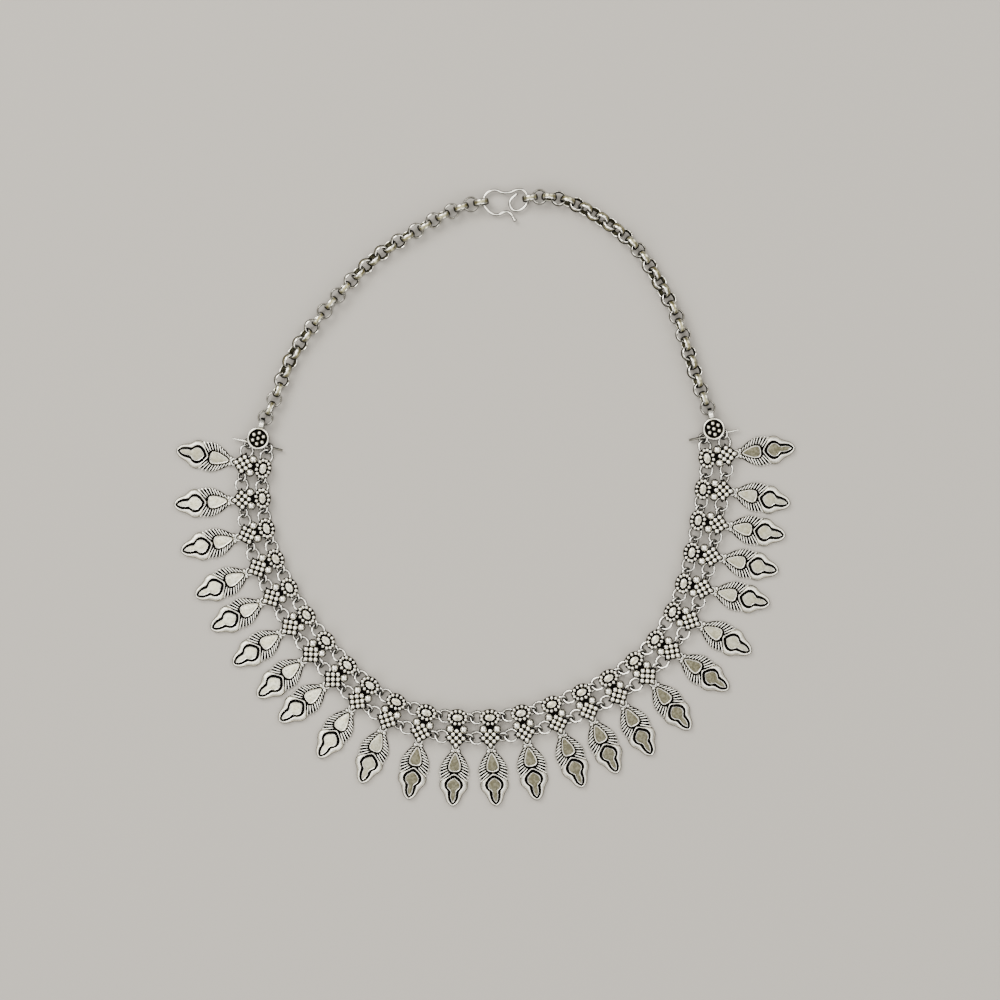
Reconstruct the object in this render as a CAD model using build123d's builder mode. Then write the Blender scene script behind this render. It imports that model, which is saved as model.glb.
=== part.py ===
from build123d import *
import math
import os

# Silver necklace lying flat and fastened: 25 granulated plaques with leaf drops on two strands of
# rings, two capped terminals, two belcher chains and an S-hook.
# Millimetres, +Z up. The backs lie on Z = 0 and the loop is centred on the origin.

# Clearances
fit_gap = 0.1
floor_gap = 0.12

# Wires and rings, with radii to the middle of the wire
ring_wire = 0.6
eye_wire = 0.5
eye_radius = 1.0
small_ring_radius = 1.4
large_ring_radius = 1.95

# Plaque
plate_thickness = 0.7
eye_sink = 0.1
plate_bevel = 0.35
rosette_length = 6.4
rosette_width = 5.1
eye_inset = 1.41
petal_count = 12
petal_diameter = 1.0
petal_edge = 0.2
boss_length = 3.1
boss_width = 2.1
boss_rise = 0.75
boss_round = 0.45
ball_diameter = 2.0
ball_spread = 4.1
ball_drop = 3.45
neck_width = 3.0
grid_count = 3
grid_pitch = 1.5
grid_bead = 1.15
grid_edge = 0.2
grid_round = 0.5
grid_drop = 6.1
corner_inset = 0.95
hanger_drop = 7.9

# Leaf drop, its length from the collar to the tip
leaf_length = 17.2
leaf_width = 8.9
leaf_plate = 0.6
ridge_rise = 0.4
ridge_width = 0.4
field_top = 1.35
lip_top = 1.55
groove_floor = 0.8
collar_width = 3.0
collar_height = 1.3
eyelet_radius = 0.95

# Terminal
cap_diameter = 6.7
cap_thickness = 0.8
cap_rim_wire = 0.7
cap_bead = 1.35
cap_beads_around = 6
cap_offset = 1.75
cap_shift = 0.5
pin_wire = 0.7
pin_inner = 7.4
pin_outer = 6.0
pin_point = 2.2
pin_tip = 0.3
pin_block = 1.2
bail_outer = 4.0
bail_wall = 0.5
bail_width = 1.2
bail_reach = 4.4

# Belcher chain
link_outer = 4.7
link_wall = 0.45
link_edge_wall = 0.28
link_stretch = 0.92
link_width = 1.6

# S-hook
hook_wire = 0.8
hook_length = 13.2
hook_width = 8.8
hook_height = 1.4
hook_tip = 1.1
hook_seat = 0.8
hook_centre = (7.3, 88.4)

# Chosen points of the line through the rosettes, from the left terminal round to the right one
collar_points = [
    (-65.3, 8.6), (-61.9, -17.3), (-46.6, -42.6), (-26.4, -60.6), (2.2, -65.8),
    (30.3, -58.0), (51.8, -42.6), (62.8, -16.6), (67.4, 11.7),
]
# Chain routes from the terminal to the hook: shares along and across the straight line
left_route = [(0, 0), (0.064, 0.020), (0.22, 0.083), (0.35, 0.108), (0.50, 0.120),
              (0.65, 0.116), (0.78, 0.088), (0.91, 0.050), (1, 0)]
right_route = [(0, 0), (0.10, -0.034), (0.23, -0.087), (0.35, -0.135), (0.47, -0.162),
               (0.61, -0.181), (0.78, -0.151), (0.91, -0.097), (1, 0)]

# Each plaque's lean from square to the line, its drop's swing, in degrees, and the slack of the
# gap after it as a share of the pitch
plaque_rows = [
    (-8, 2, -0.06), (1, 0, -0.03), (6, -5, 0.01), (5, -2, 0.01), (0, -2, 0.03),
    (1, -3, 0.02), (3, -4, 0.04), (0, -7, -0.04), (-1, 5, -0.01), (-1, 5, 0.02),
    (-2, 6, 0.00), (1, 0, 0.03), (-3, 4, 0.00), (0, -2, 0.01), (0, 2, 0.03),
    (-3, 3, -0.03), (-1, 0, -0.02), (2, -3, -0.05), (4, 1, 0.04), (0, -2, -0.03),
    (3, 2, 0.02), (2, -2, 0.04), (-1, 1, 0.00), (4, -8, -0.01), (17, -4, 0.00),
]
# Turn of each terminal from the plaque beside it, in degrees
left_turn = 0
right_turn = 2
# Share of the slack that the terminals take up
left_pull = 0.6
right_pull = 0.42

# Twist of the links from lying flat, in degrees, at shares of the chain
left_twist = [(0, 0), (0.07, 5), (0.19, 38), (0.29, 25), (0.38, 0), (0.45, 0), (0.58, 34),
              (0.68, 28), (0.78, 12), (0.86, 14), (0.94, 0), (1, 0)]
right_twist = [(0, 0), (0.08, 14), (0.16, 26), (0.26, 8), (0.34, 5), (0.44, 38), (0.54, 12),
               (0.60, 8), (0.70, 42), (0.80, 36), (0.90, 12), (1, 0)]

# Leaf outlines: shares of the length and of half the width
fringe_outline = [(0.03, 0.0), (0.05, 0.30), (0.13, 0.58), (0.21, 0.78), (0.30, 0.91),
                  (0.38, 0.95), (0.46, 0.91), (0.52, 0.78), (0.56, 0.0)]
teardrop_outline = [(0.060, 0.0), (0.085, 0.10), (0.125, 0.18), (0.18, 0.28), (0.25, 0.40),
                    (0.31, 0.455), (0.36, 0.43), (0.40, 0.32), (0.412, 0.17), (0.395, 0.0)]
bud_outline = [(0.42, 0.0), (0.48, 0.36), (0.54, 0.80), (0.585, 0.93), (0.64, 0.95),
               (0.70, 0.89), (0.75, 0.74), (0.80, 0.61), (0.87, 0.51), (0.93, 0.40),
               (0.98, 0.20), (1.0, 0.0)]
groove_outline = [(0.455, 0.0), (0.51, 0.34), (0.56, 0.53), (0.61, 0.60), (0.655, 0.59),
                  (0.70, 0.50), (0.745, 0.39), (0.80, 0.35), (0.87, 0.30), (0.93, 0.20),
                  (0.968, 0.0)]
heart_outline = [(0.50, 0.0), (0.55, 0.27), (0.60, 0.42), (0.65, 0.455), (0.69, 0.39),
                 (0.735, 0.25), (0.80, 0.21), (0.86, 0.17), (0.91, 0.10), (0.94, 0.0)]
# Ridges on each side of a leaf: share of the length at the root, then root and tip as shares of
# half the width, and the slant in degrees towards the tip of the leaf
ridge_rows = [(0.125, 0.27, 0.51, 20), (0.162, 0.34, 0.61, 17), (0.200, 0.41, 0.71, 13),
              (0.238, 0.48, 0.80, 11), (0.276, 0.53, 0.87, 10), (0.314, 0.56, 0.91, 12),
              (0.352, 0.55, 0.92, 17), (0.388, 0.52, 0.91, 24), (0.422, 0.46, 0.88, 31)]

# Corners of the S-hook's wire: shares of its length and width from its middle, hook end first
hook_corners = [(0.20, -0.585), (0.10, -0.33), (-0.02, -0.29), (-0.19, -0.43), (-0.36, -0.34),
                (-0.51, -0.09), (-0.50, 0.20), (-0.41, 0.38), (-0.24, 0.46), (-0.05, 0.33),
                (0.12, 0.36), (0.26, 0.47), (0.42, 0.44), (0.50, 0.20), (0.47, -0.08),
                (0.34, -0.25), (0.17, -0.27), (0.08, -0.10), (0.10, 0.10), (0.24, 0.30)]

# Heights
eye_height = eye_radius + eye_wire / 2
plate_bottom = 2 * eye_height - eye_sink
plate_top = plate_bottom + plate_thickness
pin_height = eye_height
cap_bottom = 2 * pin_height - floor_gap + fit_gap
cap_top = cap_bottom + cap_thickness
chain_height = link_outer / 2 + floor_gap
bail_height = bail_outer / 2 + floor_gap

# Linked rings, as (radius, wire); a pin counts as a ring of no radius
eye = (eye_radius, eye_wire)
pin = (0, pin_wire)
small_ring = (small_ring_radius, ring_wire)
large_ring = (large_ring_radius, ring_wire)


def wire_gap(first, second):
    """Distance between the middles of two wires that lie clear of each other."""
    return (first[1] + second[1]) / 2 + fit_gap


def least_apart(first, second):
    """Least distance between the middles of two linked rings."""
    return abs(first[0] - second[0]) + wire_gap(first, second) + fit_gap


def most_apart(first, second):
    """Most distance between the middles of two linked rings."""
    return first[0] + second[0] - wire_gap(first, second) - fit_gap


def pair_span(anchor):
    """Least and most distance from an anchor to a large ring that hangs on it by a small one."""
    return (anchor[0] + large_ring[0] + wire_gap(anchor, large_ring),
            most_apart(anchor, small_ring) + most_apart(small_ring, large_ring))


def spread(spans, share):
    """Distance that a row of spans makes up at a share of its slack."""
    return sum(low + (high - low) * share for low, high in spans)


def ring_roll(ring, height, side):
    """Roll that stands a ring on the floor with its middle at a height."""
    return side * math.degrees(math.asin(min(1, (height - ring[1] / 2 - floor_gap) / ring[0])))


def ring_place(middle, along, roll):
    """Location of a ring, local +Z its axis, rolled about a line along its plane."""
    side = Vector(-along.Y, along.X, 0).normalized()
    rise = along.normalized().cross(side)
    axis = rise * math.cos(math.radians(roll)) - side * math.sin(math.radians(roll))
    return Location(Plane(origin=middle, x_dir=along, z_dir=axis))


def rings_between(start, stop, spans, anchor=None):
    """The large ring between two points, as (ring, location), and a small one on its anchor."""
    slack = (stop - start).length - spread(spans, 0)
    share = slack / (spread(spans, 1) - spread(spans, 0))
    along = (stop - start).normalized()
    large_at = spread(spans[:1], share)
    large_middle = start + along * large_at
    large_roll = ring_roll(large_ring, large_middle.Z, -1)
    placed = [(large_ring, ring_place(large_middle, along, large_roll))]
    if anchor:
        small_at = large_at - most_apart(small_ring, large_ring)
        small_at += (most_apart(anchor, small_ring) - small_at) / 4
        small_middle = start + along * small_at
        small_roll = ring_roll(small_ring, small_middle.Z, 1)
        placed.append((small_ring, ring_place(small_middle, along, small_roll)))
    return placed


def table_value(rows, share):
    """Value of a two-column table at a share."""
    for (start, low), (stop, high) in zip(rows, rows[1:]):
        if share <= stop:
            return low + (high - low) * (share - start) / (stop - start)
    return rows[-1][1]


def corner_radii(points):
    """Radius at each corner of a wire, as large as the shorter run beside it allows."""
    radii = []
    for before, corner, after in zip(points, points[1:], points[2:]):
        half_turn = math.radians((corner - before).get_angle(after - corner)) / 2
        radii.append(0.48 * min((corner - before).length, (after - corner).length) / math.tan(half_turn))
    return radii


# Layout along the strands
eye_span = (least_apart(large_ring, eye), most_apart(large_ring, eye))
pitch_spans = [pair_span(eye), eye_span]
end_spans = [pair_span(pin), eye_span]
upper_eye_out = rosette_length / 2 - eye_inset
grid_side = (grid_count - 1) * grid_pitch + grid_bead + 2 * grid_edge
lower_eye_out = grid_side / math.sqrt(2) - corner_inset
plaque_pitch = 2 * upper_eye_out + spread(pitch_spans, 0.5)
left_pin_out = upper_eye_out + spread(end_spans, left_pull)
right_pin_out = upper_eye_out + spread(end_spans, right_pull)

# Places of the plaques along the line through the rosettes
pitches = [plaque_pitch * (1 + slack) for lean, swing, slack in plaque_rows[:-1]]
with BuildLine():
    rosette_line = Spline(*collar_points)
route_scale = sum(pitches) / rosette_line.length
plaque_places = []
leaf_places = []
walked = 0
for (lean, swing, slack), pitch in zip(plaque_rows, pitches + [0]):
    share = walked / sum(pitches)
    spot = rosette_line.position_at(share) * route_scale
    along = rosette_line.tangent_at(share)
    turn = math.degrees(math.atan2(along.Y, along.X)) + lean
    place = Location((spot.X, spot.Y, 0), (0, 0, turn))
    plaque_places.append(place)
    leaf_places.append(place * Location((0, -hanger_drop, 0), (0, 0, swing)))
    walked += pitch

left_terminal_place = plaque_places[0] * Location((-left_pin_out, -grid_drop / 2, 0), (0, 0, left_turn))
right_terminal_place = plaque_places[-1] * Location((right_pin_out, -grid_drop / 2, 0), (0, 0, right_turn))


def plaque_point(index, out, drop):
    """Point at eye height under a plaque."""
    return (plaque_places[index] * Location((out, -drop, eye_height))).position


def pin_point_at(terminal_place, drop):
    """Point on a terminal's pin beside a strand."""
    return (terminal_place * Location((0, grid_drop / 2 - drop, pin_height))).position


# Leaf drop, hanging along -Y from the eyelet's wire at its origin
collar_start = 2 * eyelet_radius - eye_wire / 2
leaf_layers = [
    (fringe_outline, 0, leaf_plate, Mode.ADD),
    (teardrop_outline, 0, field_top, Mode.ADD),
    (bud_outline, 0, lip_top, Mode.ADD),
    (groove_outline, groove_floor, lip_top, Mode.SUBTRACT),
    (heart_outline, 0, field_top, Mode.ADD),
]
with BuildPart() as leaf:
    for outline, low, high, mode in leaf_layers:
        with BuildSketch(Plane.XY.offset(low)):
            with BuildLine():
                Spline(*[(half * leaf_width / 2, -collar_start - along * leaf_length)
                         for along, half in outline])
                mirror(about=Plane.YZ)
            make_face()
        extrude(amount=high - low, mode=mode)
    for along, root, tip, slant in ridge_rows:
        reach = (tip - root) * leaf_width / 2 / math.cos(math.radians(slant))
        root_place = (root * leaf_width / 2, -collar_start - along * leaf_length, 0)
        with BuildSketch(Plane(Location(root_place, (0, 0, -slant)))) as ridge_sketch:
            with Locations((reach / 2, 0)):
                Rectangle(reach, ridge_width)
        extrude(amount=leaf_plate + ridge_rise)
        mirrored = mirror(ridge_sketch.sketch, about=Plane.YZ, mode=Mode.PRIVATE)
        extrude(mirrored, amount=leaf_plate + ridge_rise, dir=(0, 0, 1))
    with Locations((0, -eyelet_radius, eye_height)):
        Torus(eyelet_radius, eye_wire / 2)
    with Locations((0, -collar_start - collar_height / 2, collar_height / 2)):
        Box(collar_width - collar_height, collar_height, collar_height)
        with Locations(((collar_width - collar_height) / 2, 0), ((collar_height - collar_width) / 2, 0)):
            Sphere(collar_height / 2)

# Plaque: rosette at the origin, two balls and a diamond of granules below it, on three kinds of eye
with BuildPart() as plaque:
    with BuildSketch(Plane.XY.offset(plate_bottom)):
        Ellipse(rosette_length / 2, rosette_width / 2)
        with Locations((0, -grid_drop / 2)):
            Rectangle(neck_width, grid_drop)
        with Locations((0, -grid_drop)):
            RectangleRounded(grid_side, grid_side, grid_round, rotation=45)
    extrude(amount=plate_thickness)
    chamfer(faces().sort_by(Axis.Z)[0].edges(), length=plate_bevel)
    with BuildSketch(Plane.XY.offset(plate_top)):
        Ellipse(boss_length / 2, boss_width / 2)
    extrude(amount=boss_rise)
    fillet(faces().sort_by(Axis.Z)[-1].edges(), radius=boss_round)
    petal_reach = petal_diameter / 2 + petal_edge
    for index in range(petal_count):
        angle = 2 * math.pi * (index + 0.5) / petal_count
        petal_x = (rosette_length / 2 - petal_reach) * math.cos(angle)
        petal_y = (rosette_width / 2 - petal_reach) * math.sin(angle)
        with Locations((petal_x, petal_y, plate_top)):
            Sphere(petal_diameter / 2)
    with Locations(Location((ball_spread / 2, -ball_drop, plate_top), (0, 0, 90)),
                   Location((-ball_spread / 2, -ball_drop, plate_top), (0, 0, 90))):
        Sphere(ball_diameter / 2)
    with Locations(Location((0, -grid_drop, plate_top), (0, 0, 45))):
        with GridLocations(grid_pitch, grid_pitch, grid_count, grid_count):
            Sphere(grid_bead / 2)
    for out, drop in ((upper_eye_out, 0), (lower_eye_out, grid_drop)):
        with Locations(Location((out, -drop, eye_height), (90, 0, 0)),
                       Location((-out, -drop, eye_height), (90, 0, 0))):
            Torus(eye_radius, eye_wire / 2)
    with Locations(Location((0, -hanger_drop, eye_height), (0, 90, 0))):
        Torus(eye_radius, eye_wire / 2)

# Terminal: cross pin through the origin along Y, its cap and bail towards +X
with BuildPart() as terminal:
    with Locations(Location((0, (pin_inner - pin_outer) / 2, pin_height), (90, 0, 0))):
        Cylinder(pin_wire / 2, pin_inner + pin_outer)
    with Locations(Location((0, -pin_outer - pin_point / 2, pin_height), (90, 0, 0))):
        Cone(pin_wire / 2, pin_tip / 2, pin_point)
    with BuildSketch(Plane.XY.offset(cap_bottom)):
        with Locations((cap_offset, -cap_shift)):
            Circle(cap_diameter / 2)
    extrude(amount=cap_thickness)
    with BuildSketch(Plane.XY.offset(pin_height)):
        with Locations((cap_offset / 2, -cap_shift)):
            Rectangle(cap_offset, pin_block)
    extrude(amount=cap_bottom - pin_height + cap_thickness / 2)
    with Locations((cap_offset, -cap_shift, cap_top)):
        Torus((cap_diameter - cap_rim_wire) / 2, cap_rim_wire / 2)
        Sphere(cap_bead / 2)
        with PolarLocations(cap_diameter / 4 - cap_rim_wire / 2 + cap_bead / 4, cap_beads_around):
            Sphere(cap_bead / 2)
    bail_place = Location((cap_offset + bail_reach, -cap_shift, bail_height), (90, 0, 0))
    with BuildSketch(Plane(bail_place)):
        Circle(bail_outer / 2)
        Circle(bail_outer / 2 - bail_wall, mode=Mode.SUBTRACT)
    extrude(amount=bail_width / 2, both=True)

# Chain link, its axis along Z
with BuildPart() as link:
    with BuildSketch(Plane.XZ):
        with BuildLine():
            Polyline((link_outer / 2 - link_wall, -link_width / 2),
                     (link_outer / 2 - link_wall + link_edge_wall, -link_width / 2),
                     (link_outer / 2, -link_width / 4),
                     (link_outer / 2, link_width / 4),
                     (link_outer / 2 - link_wall + link_edge_wall, link_width / 2),
                     (link_outer / 2 - link_wall, link_width / 2), close=True)
        make_face()
    revolve(axis=Axis.Z)

# S-hook
hook_points = [
    Vector(hook_centre[0] + along * hook_length, hook_centre[1] + across * hook_width, hook_height)
    for along, across in hook_corners
]
with BuildPart() as s_hook:
    with BuildLine():
        hook_line = FilletPolyline(*hook_points, radius=corner_radii(hook_points))
    with BuildSketch(Plane(origin=hook_line @ 0, z_dir=hook_line % 0)):
        Circle(hook_wire / 2)
    sweep()
    with Locations(hook_line @ 0):
        Sphere(hook_tip / 2)
    with Locations(hook_line @ 1):
        Sphere(hook_wire / 2)

# Rings of the two strands
strand_rings = {"upper_links": [], "lower_links": []}
for strand, out, drop in (("upper_links", upper_eye_out, 0), ("lower_links", lower_eye_out, grid_drop)):
    placed = strand_rings[strand]
    placed += rings_between(pin_point_at(left_terminal_place, drop), plaque_point(0, -out, drop),
                            end_spans, pin)
    for index in range(len(plaque_rows) - 1):
        placed += rings_between(plaque_point(index, out, drop), plaque_point(index + 1, -out, drop),
                                pitch_spans, eye)
    placed += rings_between(pin_point_at(right_terminal_place, drop), plaque_point(-1, out, drop),
                            end_spans, pin)

# Links of the two chains
link_inner = link_outer / 2 - link_wall
link_pitch = link_stretch * (math.sqrt(link_inner ** 2 - (link_width / 2) ** 2)
                             + math.sqrt((link_inner - fit_gap) ** 2 - (link_width / 2) ** 2))
bail_inner = bail_outer / 2 - bail_wall
bail_crossing = link_width / 2 + chain_height - bail_height
bail_link_gap = (math.sqrt(link_inner ** 2 - (bail_width / 2) ** 2)
                 + math.sqrt((bail_inner - 2 * fit_gap) ** 2 - bail_crossing ** 2) - fit_gap)
bail_out = cap_offset + bail_reach


def chain_places(bail, hook_point, route, twist):
    """Locations of a chain's links, from the terminal's bail to the hook."""
    start = Vector(bail.X, bail.Y, chain_height)
    straight = Vector(hook_point.X, hook_point.Y, chain_height) - start
    across = Vector(-straight.Y, straight.X, 0)
    with BuildLine():
        line = Spline(*[start + straight * along + across * aside for along, aside in route])
    first = bail_link_gap / line.length
    last = 1 - hook_seat / line.length
    count = 2 * math.ceil((last - first) * line.length / link_pitch / 2 + 0.5)
    places = []
    for index in range(count):
        share = first + (last - first) * index / (count - 1)
        roll = 90 * (index % 2) + table_value(twist, index / (count - 1))
        places.append(ring_place(line.position_at(share), line.tangent_at(share), roll))
    return places


left_bail = (left_terminal_place * Location((-bail_out, -cap_shift, 0))).position
right_bail = (right_terminal_place * Location((bail_out, -cap_shift, 0))).position
hook_wire_points = [hook_line @ (step / 100) for step in range(101)]
left_hook_point = min(hook_wire_points, key=lambda point: point.X)
right_hook_point = max(hook_wire_points, key=lambda point: point.X)
chains = {
    "chain_left": chain_places(left_bail, left_hook_point, left_route, left_twist),
    "chain_right": chain_places(right_bail, right_hook_point, right_route, right_twist),
}

# Every node of the necklace, each as its own piece
pieces = {}
for index, (plaque_place, leaf_place) in enumerate(zip(plaque_places, leaf_places), start=1):
    with BuildPart() as placed_plaque:
        add(plaque.part.moved(plaque_place), clean=False)
    pieces[f"plaque_{index:02d}"] = placed_plaque.part
    with BuildPart() as placed_leaf:
        add(leaf.part.moved(leaf_place), clean=False)
    pieces[f"leaf_{index:02d}"] = placed_leaf.part
with BuildPart() as terminal_left:
    add(mirror(terminal.part, about=Plane.YZ, mode=Mode.PRIVATE).moved(left_terminal_place), clean=False)
pieces["terminal_left"] = terminal_left.part
with BuildPart() as terminal_right:
    add(terminal.part.moved(right_terminal_place), clean=False)
pieces["terminal_right"] = terminal_right.part
pieces["s_hook"] = s_hook.part
for name, places in chains.items():
    with BuildPart() as chain:
        add([link.part.moved(place) for place in places], clean=False)
    pieces[name] = chain.part
for name, placed in strand_rings.items():
    with BuildPart() as strand:
        for (radius, wire), place in placed:
            with Locations(place):
                Torus(radius, wire / 2)
    pieces[name] = strand.part

# The loop is centred over the origin
loop_box = Compound(list(pieces.values())).bounding_box()
centring = Location((-loop_box.center().X, -loop_box.center().Y, -loop_box.min.Z))
os.makedirs("parts", exist_ok=True)
for name, piece in pieces.items():
    piece.locate(centring * piece.location)
    piece.label = name
    export_step(piece, f"parts/{name}.step")
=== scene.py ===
import logging
import math
from dataclasses import dataclass, field
from enum import Enum

import bmesh
import bpy
import numpy as np
from mathutils import Matrix, Vector
from mathutils.bvhtree import BVHTree


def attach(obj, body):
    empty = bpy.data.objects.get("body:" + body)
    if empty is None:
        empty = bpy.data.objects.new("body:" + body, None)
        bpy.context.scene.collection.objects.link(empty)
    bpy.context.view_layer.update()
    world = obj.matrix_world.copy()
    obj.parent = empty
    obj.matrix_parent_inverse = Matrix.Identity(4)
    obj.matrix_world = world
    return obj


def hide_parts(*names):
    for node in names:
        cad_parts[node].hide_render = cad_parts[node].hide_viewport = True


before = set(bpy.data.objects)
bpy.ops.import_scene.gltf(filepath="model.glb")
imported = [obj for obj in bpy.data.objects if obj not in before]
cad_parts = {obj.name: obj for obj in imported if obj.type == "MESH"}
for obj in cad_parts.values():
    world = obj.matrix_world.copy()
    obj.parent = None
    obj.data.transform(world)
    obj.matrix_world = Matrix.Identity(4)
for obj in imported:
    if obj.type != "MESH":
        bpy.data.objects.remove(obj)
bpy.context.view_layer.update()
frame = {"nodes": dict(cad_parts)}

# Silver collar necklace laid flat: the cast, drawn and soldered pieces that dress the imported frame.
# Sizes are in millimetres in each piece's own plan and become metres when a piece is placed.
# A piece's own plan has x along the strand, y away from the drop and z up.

MM = 0.001
RECESS = "recess"
CREST = "crest"
GRAIN_SEED = "grain_seed"
TARNISH = "tarnish"
DOUBLES = 2e-6
SLIVERS = 1e-7
FLOAT = "NodeSocketFloat"
COLOUR = "NodeSocketColor"

Mesh = bpy.types.Mesh
Socket = bpy.types.NodeSocket
Plan = tuple[float, float]
Spot = tuple[float, float, float]
Outline = list[Plan]
Nodes = dict[str, bpy.types.Object]

logging.basicConfig(level=logging.INFO, format="%(name)s: %(message)s")
LOG = logging.getLogger("necklace")


class Side(Enum):
    """The side of the collar that a chain or a terminal is on."""

    LEFT = "left"
    RIGHT = "right"


class Work(Enum):
    """How a piece of silver was worked, which sets its surface."""

    CAST = "cast"
    DRAWN = "drawn"


class Wear(Enum):
    """How far a casting has dulled, in three judged grades, as a share of full tarnish."""

    BRIGHT = 0.15
    WORN = 0.60
    DULL = 0.95


class Facing(Enum):
    """The axis that a ring turns about, as the order in which its own x, y and z are taken."""

    X = (2, 0, 1)
    Y = (0, 2, 1)
    Z = (0, 1, 2)


class Mix(Enum):
    """What a Mix node blends, as its data type, its two inputs and its output."""

    VALUE = ("FLOAT", 2, 3, 0)
    COLOUR = ("RGBA", 6, 7, 2)


@dataclass(frozen=True)
class Finish:
    """One silver finish: a clean metal under black patina, whose black also serves as painted shade.

    Attributes:
        slot: The material slot that this finish fills.
        work: How the metal was worked.
        pale: Colour of the clean metal.
        warm: Colour of the metal where it has yellowed.
        roughness: Roughness of the clean metal.
        patina_and_shade_from: Recess value where the black of patina and painted shade starts.
        patina_and_shade_full: Recess value where that black is full.
        grain: Strength of the fine surface grain.
        grain_size: Noise scale of that grain, per metre.
    """

    slot: str
    work: Work
    pale: Spot
    warm: Spot
    roughness: float
    patina_and_shade_from: float
    patina_and_shade_full: float
    grain: float
    grain_size: float


LEAF_SILVER = Finish(
    slot="leaf_silver", work=Work.CAST, pale=(0.90, 0.87, 0.68), warm=(0.80, 0.75, 0.52), roughness=0.48,
    patina_and_shade_from=0.34, patina_and_shade_full=0.62, grain=0.55, grain_size=2600.0)
PLAQUE_SILVER = Finish(
    slot="plaque_silver", work=Work.CAST, pale=(0.80, 0.77, 0.61), warm=(0.64, 0.58, 0.39), roughness=0.38,
    patina_and_shade_from=0.33, patina_and_shade_full=0.62, grain=0.35, grain_size=2600.0)
RING_SILVER = Finish(
    slot="ring_silver", work=Work.DRAWN, pale=(0.70, 0.62, 0.52), warm=(0.50, 0.40, 0.28), roughness=0.30,
    patina_and_shade_from=0.26, patina_and_shade_full=0.60, grain=0.20, grain_size=1800.0)
CHAIN_SILVER = Finish(
    slot="chain_silver", work=Work.DRAWN, pale=(0.46, 0.43, 0.26), warm=(0.33, 0.29, 0.14), roughness=0.36,
    patina_and_shade_from=0.26, patina_and_shade_full=0.60, grain=0.22, grain_size=1800.0)


class TreeBuilder:
    """Lays out the nodes of a material, a shader group or a Geometry Nodes group."""

    def __init__(self, tree: bpy.types.NodeTree) -> None:
        """Takes the tree to fill."""
        self.tree = tree
        self.sockets: dict[str, bpy.types.NodeTreeInterfaceSocket] = {}

    @staticmethod
    def group(name: str, kind: str, inputs: list[tuple[str, str, object]],
              outputs: list[tuple[str, str]]) -> "TreeBuilder":
        """Opens a node group with its sockets.

        Args:
            name: The group's name.
            kind: The type of its tree.
            inputs: Name, socket type and default of each input.
            outputs: Name and socket type of each output.

        Returns:
            A builder whose source and sink are the group's own inputs and outputs.
        """
        build = TreeBuilder(bpy.data.node_groups.new(name, kind))
        face = build.tree.interface
        for label, socket_type, default in inputs:
            build.sockets[label] = face.new_socket(label, in_out="INPUT", socket_type=socket_type)
            if default is not None:
                build.sockets[label].default_value = default
        for label, socket_type in outputs:
            face.new_socket(label, in_out="OUTPUT", socket_type=socket_type)
        build.source = build.add("NodeGroupInput").outputs
        build.sink = build.add("NodeGroupOutput").inputs
        return build

    def give(self, socket: Socket, value: object) -> None:
        """Links a socket or sets it.

        Args:
            socket: The socket to feed.
            value: Another socket to link to it, or its value.
        """
        if isinstance(value, Socket):
            self.tree.links.new(value, socket)
        else:
            socket.default_value = value

    def add(self, kind: str, inputs: dict[str | int, object] | None = None,
            **settings: object) -> bpy.types.Node:
        """Adds a node.

        Args:
            kind: The node's type.
            inputs: A socket to link or a value for each input, by its name or number.
            settings: The node's own settings.

        Returns:
            The node.
        """
        node = self.tree.nodes.new(kind)
        for key, value in settings.items():
            setattr(node, key, value)
        for key, value in (inputs or {}).items():
            self.give(node.inputs[key], value)
        return node

    def maths(self, operation: str, *values: object) -> Socket:
        """The result of a Math node on its values."""
        return self.add("ShaderNodeMath", dict(enumerate(values)), operation=operation).outputs[0]

    def noise(self, place: Socket, scale: object, detail: float) -> Socket:
        """Cloudy noise, its scale per metre."""
        node = self.add("ShaderNodeTexNoise", {"Vector": place, "Scale": scale, "Detail": detail})
        return node.outputs["Fac"]

    def attribute(self, label: str) -> Socket:
        """The value that the mesh's points carry under a label."""
        return self.add("ShaderNodeAttribute", attribute_name=label).outputs["Fac"]

    def smooth(self, value: object, low: object, high: object) -> Socket:
        """Maps a value smoothly from low to high onto 0 to 1."""
        node = self.add("ShaderNodeMapRange", {"Value": value, "From Min": low, "From Max": high},
                        interpolation_type="SMOOTHSTEP", clamp=True)
        return node.outputs["Result"]

    def mix(self, kind: Mix, factor: object, first: object, second: object) -> Socket:
        """Mixes two values or colours.

        Args:
            kind: Which of the two it mixes.
            factor: Share of the second, 0 to 1.
            first: The first value or colour.
            second: The second value or colour.

        Returns:
            The mixture.
        """
        data_type, one, other, result = kind.value
        node = self.add("ShaderNodeMix", {0: factor, one: first, other: second}, data_type=data_type)
        return node.outputs[result]


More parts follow.
